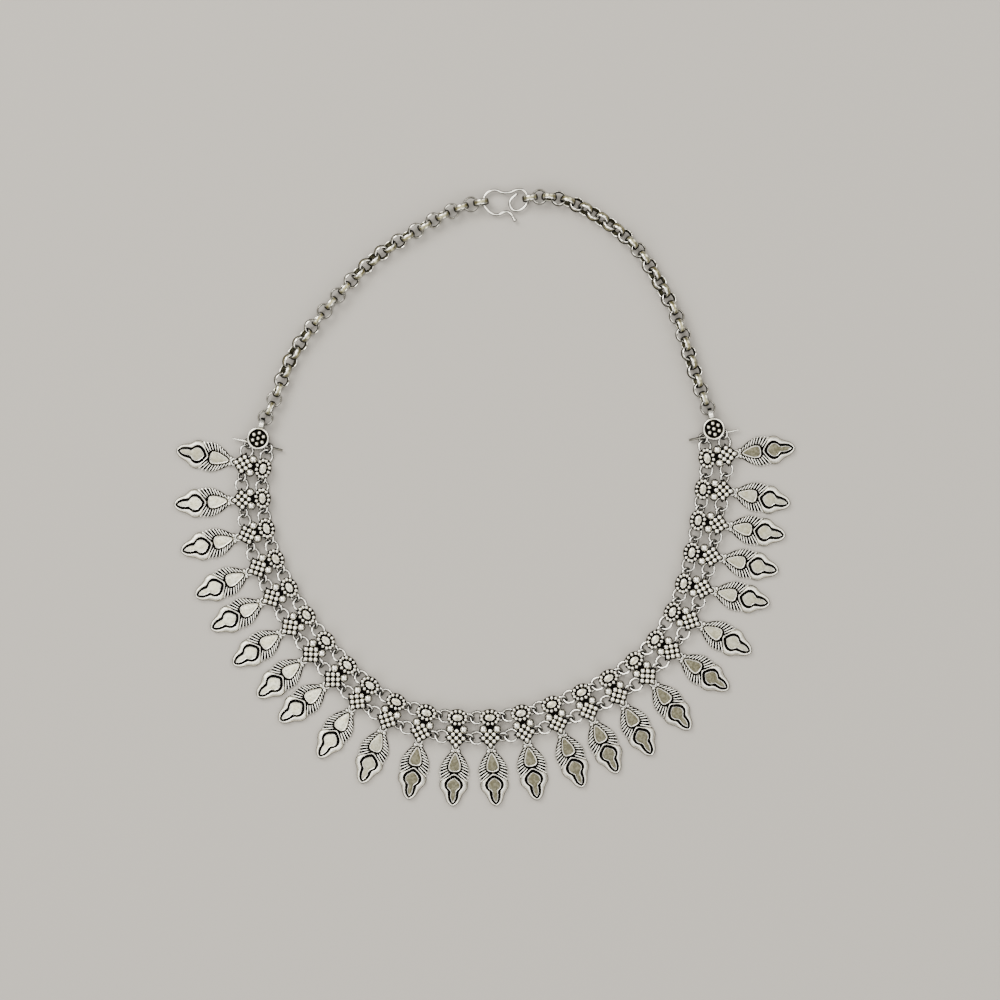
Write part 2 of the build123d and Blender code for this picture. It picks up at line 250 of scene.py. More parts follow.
class SilverEffects:
    """The shader effects that the silver finishes share. Noise scales are per metre."""

    DULL = (0.20, 0.18, 0.10, 1.0)
    TARNISHED = (0.072, 0.064, 0.036, 1.0)
    TARNISHED_PALE = (0.150, 0.138, 0.088, 1.0)
    # Near-white of wear-polished crests, also used as a painted highlight.
    POLISHED_AND_HIGHLIGHT = (0.98, 0.94, 0.82, 1.0)
    NOISE_MIDDLE = 0.5
    EDGE_SCALE, EDGE_RAGGED = 900.0, 0.30
    PIT_SCALE, PIT_REACH = 520.0, (0.06, 0.16)
    SPARE_SCALE, SPARE_SHARE = 260.0, (0.52, 0.66)
    YELLOW_SCALE, YELLOW_SHARE = 380.0, (0.40, 0.64)
    MOTTLE_SCALE, MOTTLE_PALE, MOTTLE_DULL = 1300.0, (0.42, 0.56), (0.48, 0.62)
    DULL_BY_TARNISH = (-0.40, 0.45)
    # How crest values turn into that near-white, a painted highlight as well as wear, and into lower
    # roughness.
    CREST_SHARE, CREST_POLISH, CREST_GLOSS = (0.15, 0.8), 0.92, -0.14
    ROUGH_SCALE, ROUGH_SPREAD = 1400.0, 0.25
    DENT_SCALE, SAND_WEIGHT = 420.0, 0.5
    HAIR_SCALE, HAIR_SHARE = 420.0, (0.60, 0.72)
    HAIR_TURN, HAIR_STRETCH = (0.0, 0.0, 0.6), (1.0, 14.0, 1.0)

    def __init__(self) -> None:
        """Builds the effect groups once."""
        # The patina mask also carries painted shade.
        self.patina = self._patina_and_shade()
        self.tone = self._tone()
        self.grain = self._grain()

    def _position(self, build: TreeBuilder) -> Socket:
        """Object coordinates shifted by the piece's own seed, so that no two castings match.

        Args:
            build: The group that reads them.

        Returns:
            The shifted coordinates.
        """
        place = build.add("ShaderNodeTexCoord").outputs["Object"]
        shift = build.add("ShaderNodeCombineXYZ", {"Z": build.attribute(GRAIN_SEED)}).outputs[0]
        return build.add("ShaderNodeVectorMath", {0: place, 1: shift}, operation="ADD").outputs[0]

    def _patina_and_shade(self) -> bpy.types.NodeTree:
        """Mask of black patina in the recesses, speckles elsewhere, and painted shade on flanks and
        undersides.

        Returns:
            The group's tree.
        """
        build = TreeBuilder.group("silver_patina_and_shade", "ShaderNodeTree",
                                  [("From", FLOAT, 0.3), ("Full", FLOAT, 0.6), ("Speckle", FLOAT, 0.5)],
                                  [("Mask", FLOAT)])
        given, place = build.source, self._position(build)
        cloud = build.maths("SUBTRACT", build.noise(place, self.EDGE_SCALE, 4.0), self.NOISE_MIDDLE)
        # The recess value holds patina in hollows and painted shade on flanks and undersides.
        ragged = build.maths("MULTIPLY_ADD", cloud, self.EDGE_RAGGED, build.attribute(RECESS))
        filled = build.smooth(ragged, given["From"], given["Full"])
        cells = build.add("ShaderNodeTexVoronoi", {"Vector": place, "Scale": self.PIT_SCALE}, feature="F1")
        pits = build.maths("SUBTRACT", 1.0, build.smooth(cells.outputs["Distance"], *self.PIT_REACH))
        spare = build.smooth(build.noise(place, self.SPARE_SCALE, 2.0), *self.SPARE_SHARE)
        dark = build.maths("MULTIPLY", build.maths("MULTIPLY", pits, spare), given["Speckle"])
        build.give(build.sink["Mask"], build.maths("MAXIMUM", filled, dark))
        return build.tree

    def _tone(self) -> bpy.types.NodeTree:
        """Colour and roughness of bare metal: pale, yellowed, tarnished, and near-white on crests as wear and
        painted highlight.

        Returns:
            The group's tree.
        """
        build = TreeBuilder.group("silver_tone", "ShaderNodeTree",
                                  [("Pale", COLOUR, (0.7, 0.7, 0.6, 1.0)),
                                   ("Warm", COLOUR, (0.6, 0.6, 0.4, 1.0)), ("Roughness", FLOAT, 0.3)],
                                  [("Colour", COLOUR), ("Roughness", FLOAT)])
        given, place = build.source, self._position(build)
        yellow = build.smooth(build.noise(place, self.YELLOW_SCALE, 5.0), *self.YELLOW_SHARE)
        base = build.mix(Mix.COLOUR, yellow, given["Pale"], given["Warm"])
        mottle = build.noise(place, self.MOTTLE_SCALE, 5.0)
        deep = build.smooth(mottle, *self.MOTTLE_PALE)
        tarnished = build.mix(Mix.COLOUR, deep, self.TARNISHED_PALE, self.TARNISHED)
        worn = build.attribute(TARNISH)
        base = build.mix(Mix.COLOUR, worn, base, tarnished)
        dull = build.maths("MULTIPLY", build.smooth(mottle, *self.MOTTLE_DULL),
                           build.maths("MULTIPLY_ADD", worn, *self.DULL_BY_TARNISH))
        base = build.mix(Mix.COLOUR, dull, base, self.DULL)
        # Painted highlight and wear: crests mixed towards near-white.
        crest = build.smooth(build.attribute(CREST), *self.CREST_SHARE)
        polish_and_highlight = build.maths("MULTIPLY", crest, self.CREST_POLISH)
        build.give(build.sink["Colour"], build.mix(Mix.COLOUR, polish_and_highlight, base, self.POLISHED_AND_HIGHLIGHT))
        fine = build.maths("SUBTRACT", build.noise(place, self.ROUGH_SCALE, 3.0), self.NOISE_MIDDLE)
        rough = build.maths("MULTIPLY_ADD", fine, self.ROUGH_SPREAD, given["Roughness"])
        build.give(build.sink["Roughness"], build.maths("MULTIPLY_ADD", crest, self.CREST_GLOSS, rough))
        return build.tree

    def _grain(self) -> bpy.types.NodeTree:
        """Height of the fine grain: a sandy casting skin crossed by hairline scratches.

        Returns:
            The group's tree.
        """
        build = TreeBuilder.group("silver_grain", "ShaderNodeTree",
                                  [("Size", FLOAT, 2000.0), ("Scratches", FLOAT, 0.5)], [("Height", FLOAT)])
        given, place = build.source, self._position(build)
        sand = build.noise(place, given["Size"], 4.0)
        dents = build.noise(place, self.DENT_SCALE, 2.0)
        turned = build.add("ShaderNodeMapping", {"Vector": place, "Rotation": self.HAIR_TURN,
                                                 "Scale": self.HAIR_STRETCH}).outputs[0]
        hair = build.smooth(build.noise(turned, self.HAIR_SCALE, 2.0), *self.HAIR_SHARE)
        scratch = build.maths("MULTIPLY", hair, given["Scratches"])
        total = build.maths("ADD", build.maths("MULTIPLY", sand, self.SAND_WEIGHT), dents)
        build.give(build.sink["Height"], build.maths("SUBTRACT", total, scratch))
        return build.tree


class Silversmith:
    """Makes each finish's material from the shared effects."""

    # Black of the patina, also used as painted shade.
    PATINA_AND_SHADE_COLOUR = (0.0030, 0.0026, 0.0023, 1.0)
    PATINA_AND_SHADE_ROUGHNESS = 0.55
    SPECKLE = {Work.CAST: 0.55, Work.DRAWN: 0.30}
    SCRATCHES = {Work.CAST: 0.25, Work.DRAWN: 0.5}
    GRAIN_DEPTH = 0.00006

    def __init__(self) -> None:
        """Prepares the shared effects and an empty shelf of materials."""
        self.effects = SilverEffects()
        self.shelf: dict[str, bpy.types.Material] = {}

    def material(self, finish: Finish) -> bpy.types.Material:
        """The material of a finish, made on first use.

        Args:
            finish: The finish wanted.

        Returns:
            Its material.
        """
        if finish.slot not in self.shelf:
            self.shelf[finish.slot] = self._make(finish)
        return self.shelf[finish.slot]

    def _make(self, finish: Finish) -> bpy.types.Material:
        """Builds a finish's material: bare metal under black patina and painted shade, with its grain.

        Args:
            finish: The finish wanted.

        Returns:
            Its new material.
        """
        material = bpy.data.materials.new(finish.slot)
        material.use_nodes = True
        material.node_tree.nodes.clear()
        build = TreeBuilder(material.node_tree)
        effects, work = self.effects, finish.work
        # Mask of black patina and of painted shade.
        patina = build.add("ShaderNodeGroup", {
            "From": finish.patina_and_shade_from, "Full": finish.patina_and_shade_full, "Speckle": self.SPECKLE[work]},
            node_tree=effects.patina)
        tone = build.add("ShaderNodeGroup", {
            "Pale": (*finish.pale, 1.0), "Warm": (*finish.warm, 1.0), "Roughness": finish.roughness},
            node_tree=effects.tone)
        grain = build.add("ShaderNodeGroup", {"Size": finish.grain_size, "Scratches": self.SCRATCHES[work]},
                          node_tree=effects.grain)
        mask = patina.outputs["Mask"]
        bump = build.add("ShaderNodeBump", {"Strength": finish.grain, "Distance": self.GRAIN_DEPTH,
                                            "Height": grain.outputs["Height"]})
        surface = build.add("ShaderNodeBsdfPrincipled", {
            "Base Color": build.mix(Mix.COLOUR, mask, tone.outputs["Colour"], self.PATINA_AND_SHADE_COLOUR),
            "Roughness": build.mix(Mix.VALUE, mask, tone.outputs["Roughness"], self.PATINA_AND_SHADE_ROUGHNESS),
            "Metallic": 1.0, "Normal": bump.outputs["Normal"]})
        build.add("ShaderNodeOutputMaterial", {"Surface": surface.outputs["BSDF"]})
        return material


def read(items: bpy.types.bpy_prop_collection, key: str, width: int = 1, kind: type = float) -> np.ndarray:
    """One property of every item of a mesh.

    Args:
        items: The mesh's points, edges, faces or corners.
        key: The property's name.
        width: Numbers that each item has.
        kind: The numbers' type.

    Returns:
        One number or one row of numbers for each item.
    """
    values = np.empty(len(items) * width, dtype=kind)
    items.foreach_get(key, values)
    return values.reshape(-1, width) if width > 1 else values


def write(mesh: Mesh, label: str, values: list[float] | np.ndarray) -> None:
    """Gives a mesh's points their values under a label."""
    layer = mesh.attributes.get(label) or mesh.attributes.new(label, "FLOAT", "POINT")
    layer.data.foreach_set("value", values)


@dataclass(frozen=True)
class Row:
    """One loop of a lofted skin and how the metal looks there.

    Attributes:
        loop: The loop's points, an N by 3 array in millimetres.
        recess: How deep in black patina and painted shade the loop lies, 0 to 1.
        crest: How bright the loop is painted, as wear-polished metal and a highlight, 0 to 1.
    """

    loop: np.ndarray
    recess: float = 0.0
    crest: float = 0.0


class Shell:
    """A mesh gathered from skins, in millimetres, with its recess and crest values: patina and painted shade,
    wear and painted highlight.
    """

    SUNK = 0.12
    TOP_SHARE = 0.08

    def __init__(self) -> None:
        """Starts with nothing."""
        self.points: list[Spot] = []
        self.faces: list[tuple[int, ...]] = []
        self.recess: list[float] = []
        self.crest: list[float] = []

    def put(self, points: np.ndarray, recess: float, crest: float) -> int:
        """Adds points of one look.

        Args:
            points: The points, an N by 3 array.
            recess: How deep in black patina and painted shade they lie.
            crest: How bright they are painted, as wear-polished metal and a highlight.

        Returns:
            The number of the first.
        """
        base = len(self.points)
        self.points.extend(tuple(float(value) for value in point) for point in points)
        self.recess.extend([recess] * len(points))
        self.crest.extend([crest] * len(points))
        return base

    def loft(self, rows: list[Row], close_start: bool = True, close_end: bool = True) -> None:
        """Joins loops of equal count into one skin.

        Args:
            rows: The loops from one end to the other.
            close_start: Whether a face closes the first loop.
            close_end: Whether a face closes the last loop.
        """
        bases = [self.put(row.loop, row.recess, row.crest) for row in rows]
        count = len(rows[0].loop)
        for low, high in zip(bases, bases[1:]):
            self.strip(low, high, count)
        if close_start:
            self.faces.append(tuple(range(bases[0] + count - 1, bases[0] - 1, -1)))
        if close_end:
            self.faces.append(tuple(range(bases[-1], bases[-1] + count)))

    def strip(self, low: int, high: int, count: int) -> None:
        """Joins two loops of equal count with a closed strip of faces.

        Args:
            low: Number of the first loop's first point.
            high: Number of the second loop's first point.
            count: Points of each loop.
        """
        for index in range(count):
            after = (index + 1) % count
            self.faces.append((low + index, low + after, high + after, high + index))

    def crown(self, row: Row, rise: float, across: int) -> None:
        """Closes a symmetrical loop with a crowned field.

        Args:
            row: The loop, from its top point round one side to its tip and back up the other.
            rise: Height of the crown above the loop.
            across: Number of strips across the field.
        """
        half = len(row.loop) // 2
        right = row.loop[:half + 1]
        left = np.vstack([row.loop[:1], row.loop[:half - 1:-1]])
        widest = np.abs(right[:, 0]).max()
        shares = np.linspace(0.0, 1.0, across + 1)
        base = len(self.points)
        for one, other in zip(right, left):
            fullness = min(1.0, 1.5 * abs(one[0]) / widest)
            strip = np.outer(1 - shares, one) + np.outer(shares, other)
            strip[:, 2] += rise * fullness * (1 - (2 * shares - 1) ** 2)
            self.put(strip, row.recess, 0.0)
            self.crest[-across - 1] = self.crest[-1] = row.crest
        for line in range(half):
            for step in range(across):
                low = base + line * (across + 1) + step
                high = low + across + 1
                self.faces.append((low, low + 1, high + 1, high))

    def dome(self, centre: Plan, foot: float, half: Spot, around: int = 20, rings: int = 6,
             recess: float = 0.85, clearing: float = 1.8) -> None:
        """Adds a rounded boss, bead or ball that stands on its foot.

        Args:
            centre: Its middle in plan.
            foot: Height that its widest part has.
            half: Half of its length and width, and its height above the foot.
            around: Divisions round it.
            rings: Divisions from foot to top.
            recess: Black patina and painted shade at its foot.
            clearing: How fast that black clears towards the top, which is painted bright as a highlight and
                as wear.
        """
        rows = [Row(at_height(ellipse(half[0], half[1], around, centre), foot - self.SUNK), recess)]
        for step in range(rings):
            lift = math.pi / 2 * step / rings
            plan = ellipse(half[0] * math.cos(lift), half[1] * math.cos(lift), around, centre)
            # Dark foot as patina and painted shade; bright top as a painted highlight and wear.
            cleared = clearing * step / rings
            rows.append(Row(at_height(plan, foot + half[2] * math.sin(lift)), recess * max(0.0, 1 - cleared),
                            min(1.0, cleared)))
        top = ellipse(half[0] * self.TOP_SHARE, half[1] * self.TOP_SHARE, around, centre)
        rows.append(Row(at_height(top, foot + half[2]), 0.0, 0.9))
        self.loft(rows)

    def bead(self, centre: Spot, half: Spot, around: int = 16, rings: int = 10) -> None:
        """Adds a whole rounded lump.

        Args:
            centre: Its middle.
            half: Half of its length, width and height.
            around: Divisions round it.
            rings: Divisions from bottom to top.
        """
        rows = []
        for step in range(rings + 1):
            lift = math.pi * (min(max(step / rings, 0.03), 0.97) - 0.5)
            plan = ellipse(half[0] * math.cos(lift), half[1] * math.cos(lift), around, centre[:2])
            # Lower half dark as patina and painted shade, top painted bright as a highlight and wear.
            share = step / rings
            rows.append(Row(at_height(plan, centre[2] + half[2] * math.sin(lift)),
                            min(1.0, max(0.0, 2.55 - 2.9 * share)), min(1.0, max(0.0, 3.2 * share - 1.9))))
        self.loft(rows)

    def ring(self, centre: Spot, radius: float, wire: float, facing: Facing, around: int = 26,
             sides: int = 8, flank: float = 1.5) -> None:
        """Adds a round ring of wire.

        Args:
            centre: Its middle.
            radius: From its middle to the middle of the wire.
            wire: Diameter of the wire.
            facing: The axis that it turns about.
            around: Divisions round the ring.
            sides: Sides of the wire.
            flank: How far painted shade creeps up the sides of the wire, away from what faces up.
        """
        base = len(self.points)
        for step in range(around):
            turn = 2 * math.pi * step / around
            for side in range(sides):
                angle = 2 * math.pi * side / sides
                reach = radius + wire / 2 * math.cos(angle)
                flat = (reach * math.cos(turn), reach * math.sin(turn), wire / 2 * math.sin(angle))
                spot = [flat[axis] + middle for axis, middle in zip(facing.value, centre)]
                # Dark inner and outer sides and flanks are patina and painted shade; the bright top is a
                # painted highlight and wear.
                inside, outside = max(0.0, -math.cos(angle)), max(0.0, math.cos(angle))
                if facing is Facing.Z:
                    recess = 0.95 * inside ** 3 + 0.34 * outside ** 4
                    crest = 1.0 - max(inside ** 2, 0.6 * outside ** 4)
                    up = math.sin(angle)
                else:
                    recess, crest = 0.85 * inside, 0.9 * outside
                    up = math.cos(angle) * math.sin(turn)
                self.put(np.array([spot]), max(recess, min(1.0, flank * (1.0 - up))), crest)
        self.wrap(base, around, sides)

    def wrap(self, base: int, around: int, sides: int) -> None:
        """Joins loops that stand round a ring into a closed tube.

        Args:
            base: Number of the first loop's first point.
            around: Number of loops.
            sides: Points of each loop.
        """
        for step in range(around):
            self.strip(base + step * sides, base + (step + 1) % around * sides, sides)

    def mesh(self, name: str) -> Mesh:
        """The gathered mesh, welded, its faces turned outwards.

        Args:
            name: Name of the mesh.

        Returns:
            The mesh, in millimetres.
        """
        mesh = bpy.data.meshes.new(name)
        mesh.from_pydata(self.points, [], self.faces)
        for label, values in ((RECESS, self.recess), (CREST, self.crest)):
            write(mesh, label, values)
        return tidy(mesh)


def tidy(mesh: Mesh, weld: float = 1e-4) -> Mesh:
    """Merges doubles, splits large faces and turns faces outwards.

    Args:
        mesh: The mesh to tidy.
        weld: Distance under which points merge.

    Returns:
        The same mesh.
    """
    work = bmesh.new()
    work.from_mesh(mesh)
    bmesh.ops.remove_doubles(work, verts=work.verts, dist=weld)
    bmesh.ops.triangulate(work, faces=[face for face in work.faces if len(face.verts) > 4])
    bmesh.ops.dissolve_degenerate(work, edges=work.edges, dist=weld)
    bmesh.ops.recalc_face_normals(work, faces=work.faces)
    work.to_mesh(mesh)
    work.free()
    mesh.update()
    return mesh


def smooth_loop(outline: Outline, length: float, width: float, start: float, count: int) -> np.ndarray:
    """A closed, evenly divided loop from one side of a leaf outline.

    Args:
        outline: Shares of the length and of half the width, from the top to the tip.
        length: Length of the leaf.
        width: Width of the leaf.
        start: Distance from the leaf's origin to its collar.
        count: Points of the loop, an even number.

    Returns:
        The loop as an N by 2 array, from the top down the right side and up the left.
    """
    right = [Vector((half * width / 2, -start - along * length)) for along, half in outline]
    guard = [Vector((-right[1].x, right[1].y))] + right + [Vector((-right[-2].x, right[-2].y))]
    fine = []
    steps = 12
    for before, one, two, after in zip(guard, guard[1:], guard[2:], guard[3:]):
        for step in range(steps):
            t = step / steps
            fine.append(0.5 * ((2 * one) + (two - before) * t
                               + (2 * before - 5 * one + 4 * two - after) * t * t
                               + (3 * one - before - 3 * two + after) * t ** 3))
    fine.append(right[-1])
    line = np.array([tuple(point) for point in fine])
    line[:, 0] = np.maximum(line[:, 0], 0.0)
    line[0, 0] = line[-1, 0] = 0.0
    run = np.concatenate([[0.0], np.cumsum(np.linalg.norm(np.diff(line, axis=0), axis=1))])
    marks = np.linspace(0.0, run[-1], count // 2 + 1)
    side = np.stack([np.interp(marks, run, line[:, 0]), np.interp(marks, run, line[:, 1])], axis=1)
    return np.vstack([side, side[-2:0:-1] * np.array([-1.0, 1.0])])


def inset(loop: np.ndarray, amount: float) -> np.ndarray:
    """A loop moved inwards.

    Args:
        loop: The loop, an N by 2 array.
        amount: How far it moves, negative for outwards.

    Returns:
        The moved loop.
    """
    along = np.roll(loop, -1, axis=0) - np.roll(loop, 1, axis=0)
    normal = np.stack([along[:, 1], -along[:, 0]], axis=1)
    normal /= np.maximum(np.linalg.norm(normal, axis=1, keepdims=True), 1e-9)
    area = 0.5 * np.sum(loop[:, 0] * np.roll(loop[:, 1], -1) - loop[:, 1] * np.roll(loop[:, 0], -1))
    return loop - normal * amount * (1 if area > 0 else -1)


def at_height(loop: np.ndarray, height: float) -> np.ndarray:
    """A flat loop raised to a height, as an N by 3 array."""
    return np.column_stack([loop, np.full(len(loop), height)])


def terraced(loop: np.ndarray, steps: list[tuple[float, ...]]) -> list[Row]:
    """Copies of a flat loop, each moved inwards and raised, as rows of a skin.

    Args:
        loop: The loop.
        steps: Inset, height, recess and, where it isn't 0, crest of each copy.

    Returns:
        The rows.
    """
    return [Row(at_height(inset(loop, step[0]), step[1]), *step[2:]) for step in steps]


def ellipse(half_length: float, half_width: float, count: int, centre: Plan = (0.0, 0.0),
            power: float = 2.0) -> np.ndarray:
    """An ellipse, or a squarer or more pointed loop.

    Args:
        half_length: Half of its length along x.
        half_width: Half of its width along y.
        count: Points of the loop.
        centre: Its middle.
        power: 2 for an ellipse, more for a squarer loop, less for a diamond.

    Returns:
        The loop as an N by 2 array.
    """
    turn = np.linspace(0.0, 2 * math.pi, count, endpoint=False)
    cosine, sine = np.cos(turn), np.sin(turn)
    reach = (np.abs(cosine) ** power + np.abs(sine) ** power) ** (-1 / power)
    return np.stack([centre[0] + half_length * cosine * reach, centre[1] + half_width * sine * reach], axis=1)


@dataclass(frozen=True)
class Seat:
    """Where a piece's own plan lies in the frame.

    Attributes:
        matrix: From the piece's plan in millimetres to the frame in metres.
        number: The piece's number along the collar.
    """

    matrix: Matrix
    number: int

    @staticmethod
    def of(node: bpy.types.Object, inner_reach: float, number: int) -> "Seat":
        """The seat of a flat symmetrical node whose long axis points away from the neck.

        Args:
            node: The frame's node.
            inner_reach: Distance from the plan's origin to the node's inner end.
            number: The node's number along the collar.

        Returns:
            The seat.
        """
        centres, areas = triangles_of(node.data)
        flat = centres[:, :2]
        middle = np.average(flat, axis=0, weights=areas)
        spread = np.cov((flat - middle).T, aweights=areas)
        outward = np.linalg.eigh(spread)[1][:, 1]
        if outward @ middle < 0:
            outward = -outward
        plan = read(node.data.vertices, "co", 3)[:, :2]
        aside = np.array([outward[1], -outward[0]])
        start = (plan @ outward).min() + inner_reach * MM
        across = (plan @ aside).min() / 2 + (plan @ aside).max() / 2
        origin = outward * start + aside * across
        up = -outward
        turn = Matrix(((up[1], up[0], 0.0), (-up[0], up[1], 0.0), (0.0, 0.0, 1.0))).to_4x4()
        spot = Matrix.Translation((origin[0], origin[1], 0.0))
        return Seat(spot @ turn @ Matrix.Scale(MM, 4), number)


def triangles_of(mesh: Mesh) -> tuple[np.ndarray, np.ndarray]:
    """Centres and areas of a mesh's faces."""
    return read(mesh.polygons, "center", 3), read(mesh.polygons, "area")


class Bench:
    """Turns finished meshes into pieces that ride on the frame."""

    SHARP_ANGLE = math.radians(48)
    SEED_STEP = 0.013

    def __init__(self, smith: Silversmith) -> None:
        """Keeps the silversmith and counts the triangles laid down."""
        self.smith = smith
        self.triangles = 0

    def piece(self, name: str, mesh: Mesh, finish: Finish, nodes: list[str]) -> bpy.types.Object:
        """Makes a piece from a mesh in metres and puts it in place of its nodes.

        Args:
            name: Name of the piece.
            mesh: Its mesh, in the frame.
            finish: Its finish.
            nodes: The nodes that it stands for.

        Returns:
            The piece.
        """
        mesh.materials.clear()
        mesh.materials.append(self.smith.material(finish))
        for polygon in mesh.polygons:
            polygon.material_index = 0
        mesh.shade_smooth()
        mesh.set_sharp_from_angle(angle=self.SHARP_ANGLE)
        made = bpy.data.objects.new(name, mesh)
        bpy.context.scene.collection.objects.link(made)
        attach(made, "root")
        if nodes:
            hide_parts(*nodes)
        count = sum(len(polygon.vertices) - 2 for polygon in mesh.polygons)
        self.triangles += count
        LOG.info("%s: %d triangles, stands for %s", name, count, ", ".join(nodes) or "surface work")
        return made

    @staticmethod
    def seated(mesh: Mesh, seat: Seat, name: str) -> Mesh:
        """A copy of a mesh moved to its seat, with its own grain.

        Args:
            mesh: The mesh, in its own plan.
            seat: Where it lies.
            name: Name of the copy.

        Returns:
            The copy, in the frame.
        """
        placed = mesh.copy()
        placed.name = name
        placed.transform(seat.matrix)
        Bench.mark(placed, GRAIN_SEED, Bench.SEED_STEP * seat.number)
        return placed

    @staticmethod
    def mark(mesh: Mesh, label: str, value: float) -> None:
        """Gives every point of a mesh the same value under a label."""
        write(mesh, label, [value] * len(mesh.vertices))


class RepeatTree:
    """A Geometry Nodes tree that sets a pattern piece on every point of a mesh."""

    SIZE = "repeat_size"
    TURN = "repeat_turn"
    SEED_STEP = 0.011
    SEED_ROUND = 97

    def __init__(self) -> None:
        """Builds the tree with its named inputs."""
        solid, vector = "NodeSocketGeometry", "FLOAT_VECTOR"
        build = TreeBuilder.group("repeat_on_points", "GeometryNodeTree", [
            ("Points", solid, None), ("Pattern", "NodeSocketObject", None),
            ("Finish", "NodeSocketMaterial", None), ("Scale", FLOAT, None), ("Unevenness", FLOAT, None),
            ("Seed", "NodeSocketInt", None)], [("Pieces", solid)])
        self.tree, self.sockets, given = build.tree, build.sockets, build.source
        pattern = build.add("GeometryNodeObjectInfo", {"Object": given["Pattern"]},
                            transform_space="ORIGINAL")
        turn, size = (build.add("GeometryNodeInputNamedAttribute", {"Name": label}, data_type=vector)
                      for label in (self.TURN, self.SIZE))
        rotation = build.add("FunctionNodeEulerToRotation", {0: turn.outputs["Attribute"]})
        least = build.maths("SUBTRACT", 1.0, given["Unevenness"])
        spread = build.add("FunctionNodeRandomValue", {"Min": least, "Max": 1.0, "Seed": given["Seed"]},
                           data_type="FLOAT")
        factor = build.maths("MULTIPLY", spread.outputs["Value"], given["Scale"])
        total = build.add("ShaderNodeVectorMath", {0: size.outputs["Attribute"], "Scale": factor},
                          operation="SCALE")
        repeat = build.add("GeometryNodeInstanceOnPoints", {
            "Points": given["Points"], "Instance": pattern.outputs["Geometry"],
            "Rotation": rotation.outputs[0], "Scale": total.outputs[0]})
        real = build.add("GeometryNodeRealizeInstances", {"Geometry": repeat.outputs["Instances"]})
        dress = build.add("GeometryNodeSetMaterial", {"Geometry": real.outputs["Geometry"],
                                                      "Material": given["Finish"]})
        build.give(build.sink["Pieces"], dress.outputs["Geometry"])

    def run(self, name: str, pattern: Mesh, places: list[Matrix], material: bpy.types.Material,
            uneven: float = 0.0, seed: int = 7) -> Mesh:
        """Repeats a pattern mesh in millimetres at places in the frame.

        Args:
            name: Name of the new mesh.
            pattern: The pattern.
            places: From the pattern's millimetres to the frame's metres.
            material: The material to set.
            uneven: Largest share by which a piece may be smaller.
            seed: Seed of the unevenness.

        Returns:
            A plain mesh in metres.
        """
        model = bpy.data.objects.new(name + "_pattern", pattern)
        cloud = bpy.data.meshes.new(name + "_points")
        cloud.from_pydata([tuple(place.translation) for place in places], [], [])
        turns = [value for place in places for value in place.decompose()[1].to_euler()]
        sizes = [value for place in places for value in place.decompose()[2]]
        for label, values in ((self.TURN, turns), (self.SIZE, sizes)):
            cloud.attributes.new(label, "FLOAT_VECTOR", "POINT").data.foreach_set("vector", values)
        seeds = [self.SEED_STEP * (index % self.SEED_ROUND) for index in range(len(places))]
        write(cloud, GRAIN_SEED, seeds)
        holder = bpy.data.objects.new(name + "_holder", cloud)
        bpy.context.scene.collection.objects.link(model)
        bpy.context.scene.collection.objects.link(holder)
        modifier = holder.modifiers.new("repeat", "NODES")
        modifier.node_group = self.tree
        for label, value in (("Pattern", model), ("Finish", material), ("Scale", 1.0), ("Unevenness", uneven),
                             ("Seed", seed)):
            modifier[self.sockets[label].identifier] = value
        graph = bpy.context.evaluated_depsgraph_get()
        graph.update()
        baked = bpy.data.meshes.new_from_object(holder.evaluated_get(graph), preserve_all_data_layers=True,
                                                depsgraph=graph)
        baked.name = name
        for spare in (self.TURN, self.SIZE):
            if spare in baked.attributes:
                baked.attributes.remove(baked.attributes[spare])
        bpy.data.objects.remove(holder)
        bpy.data.objects.remove(model)
        return baked


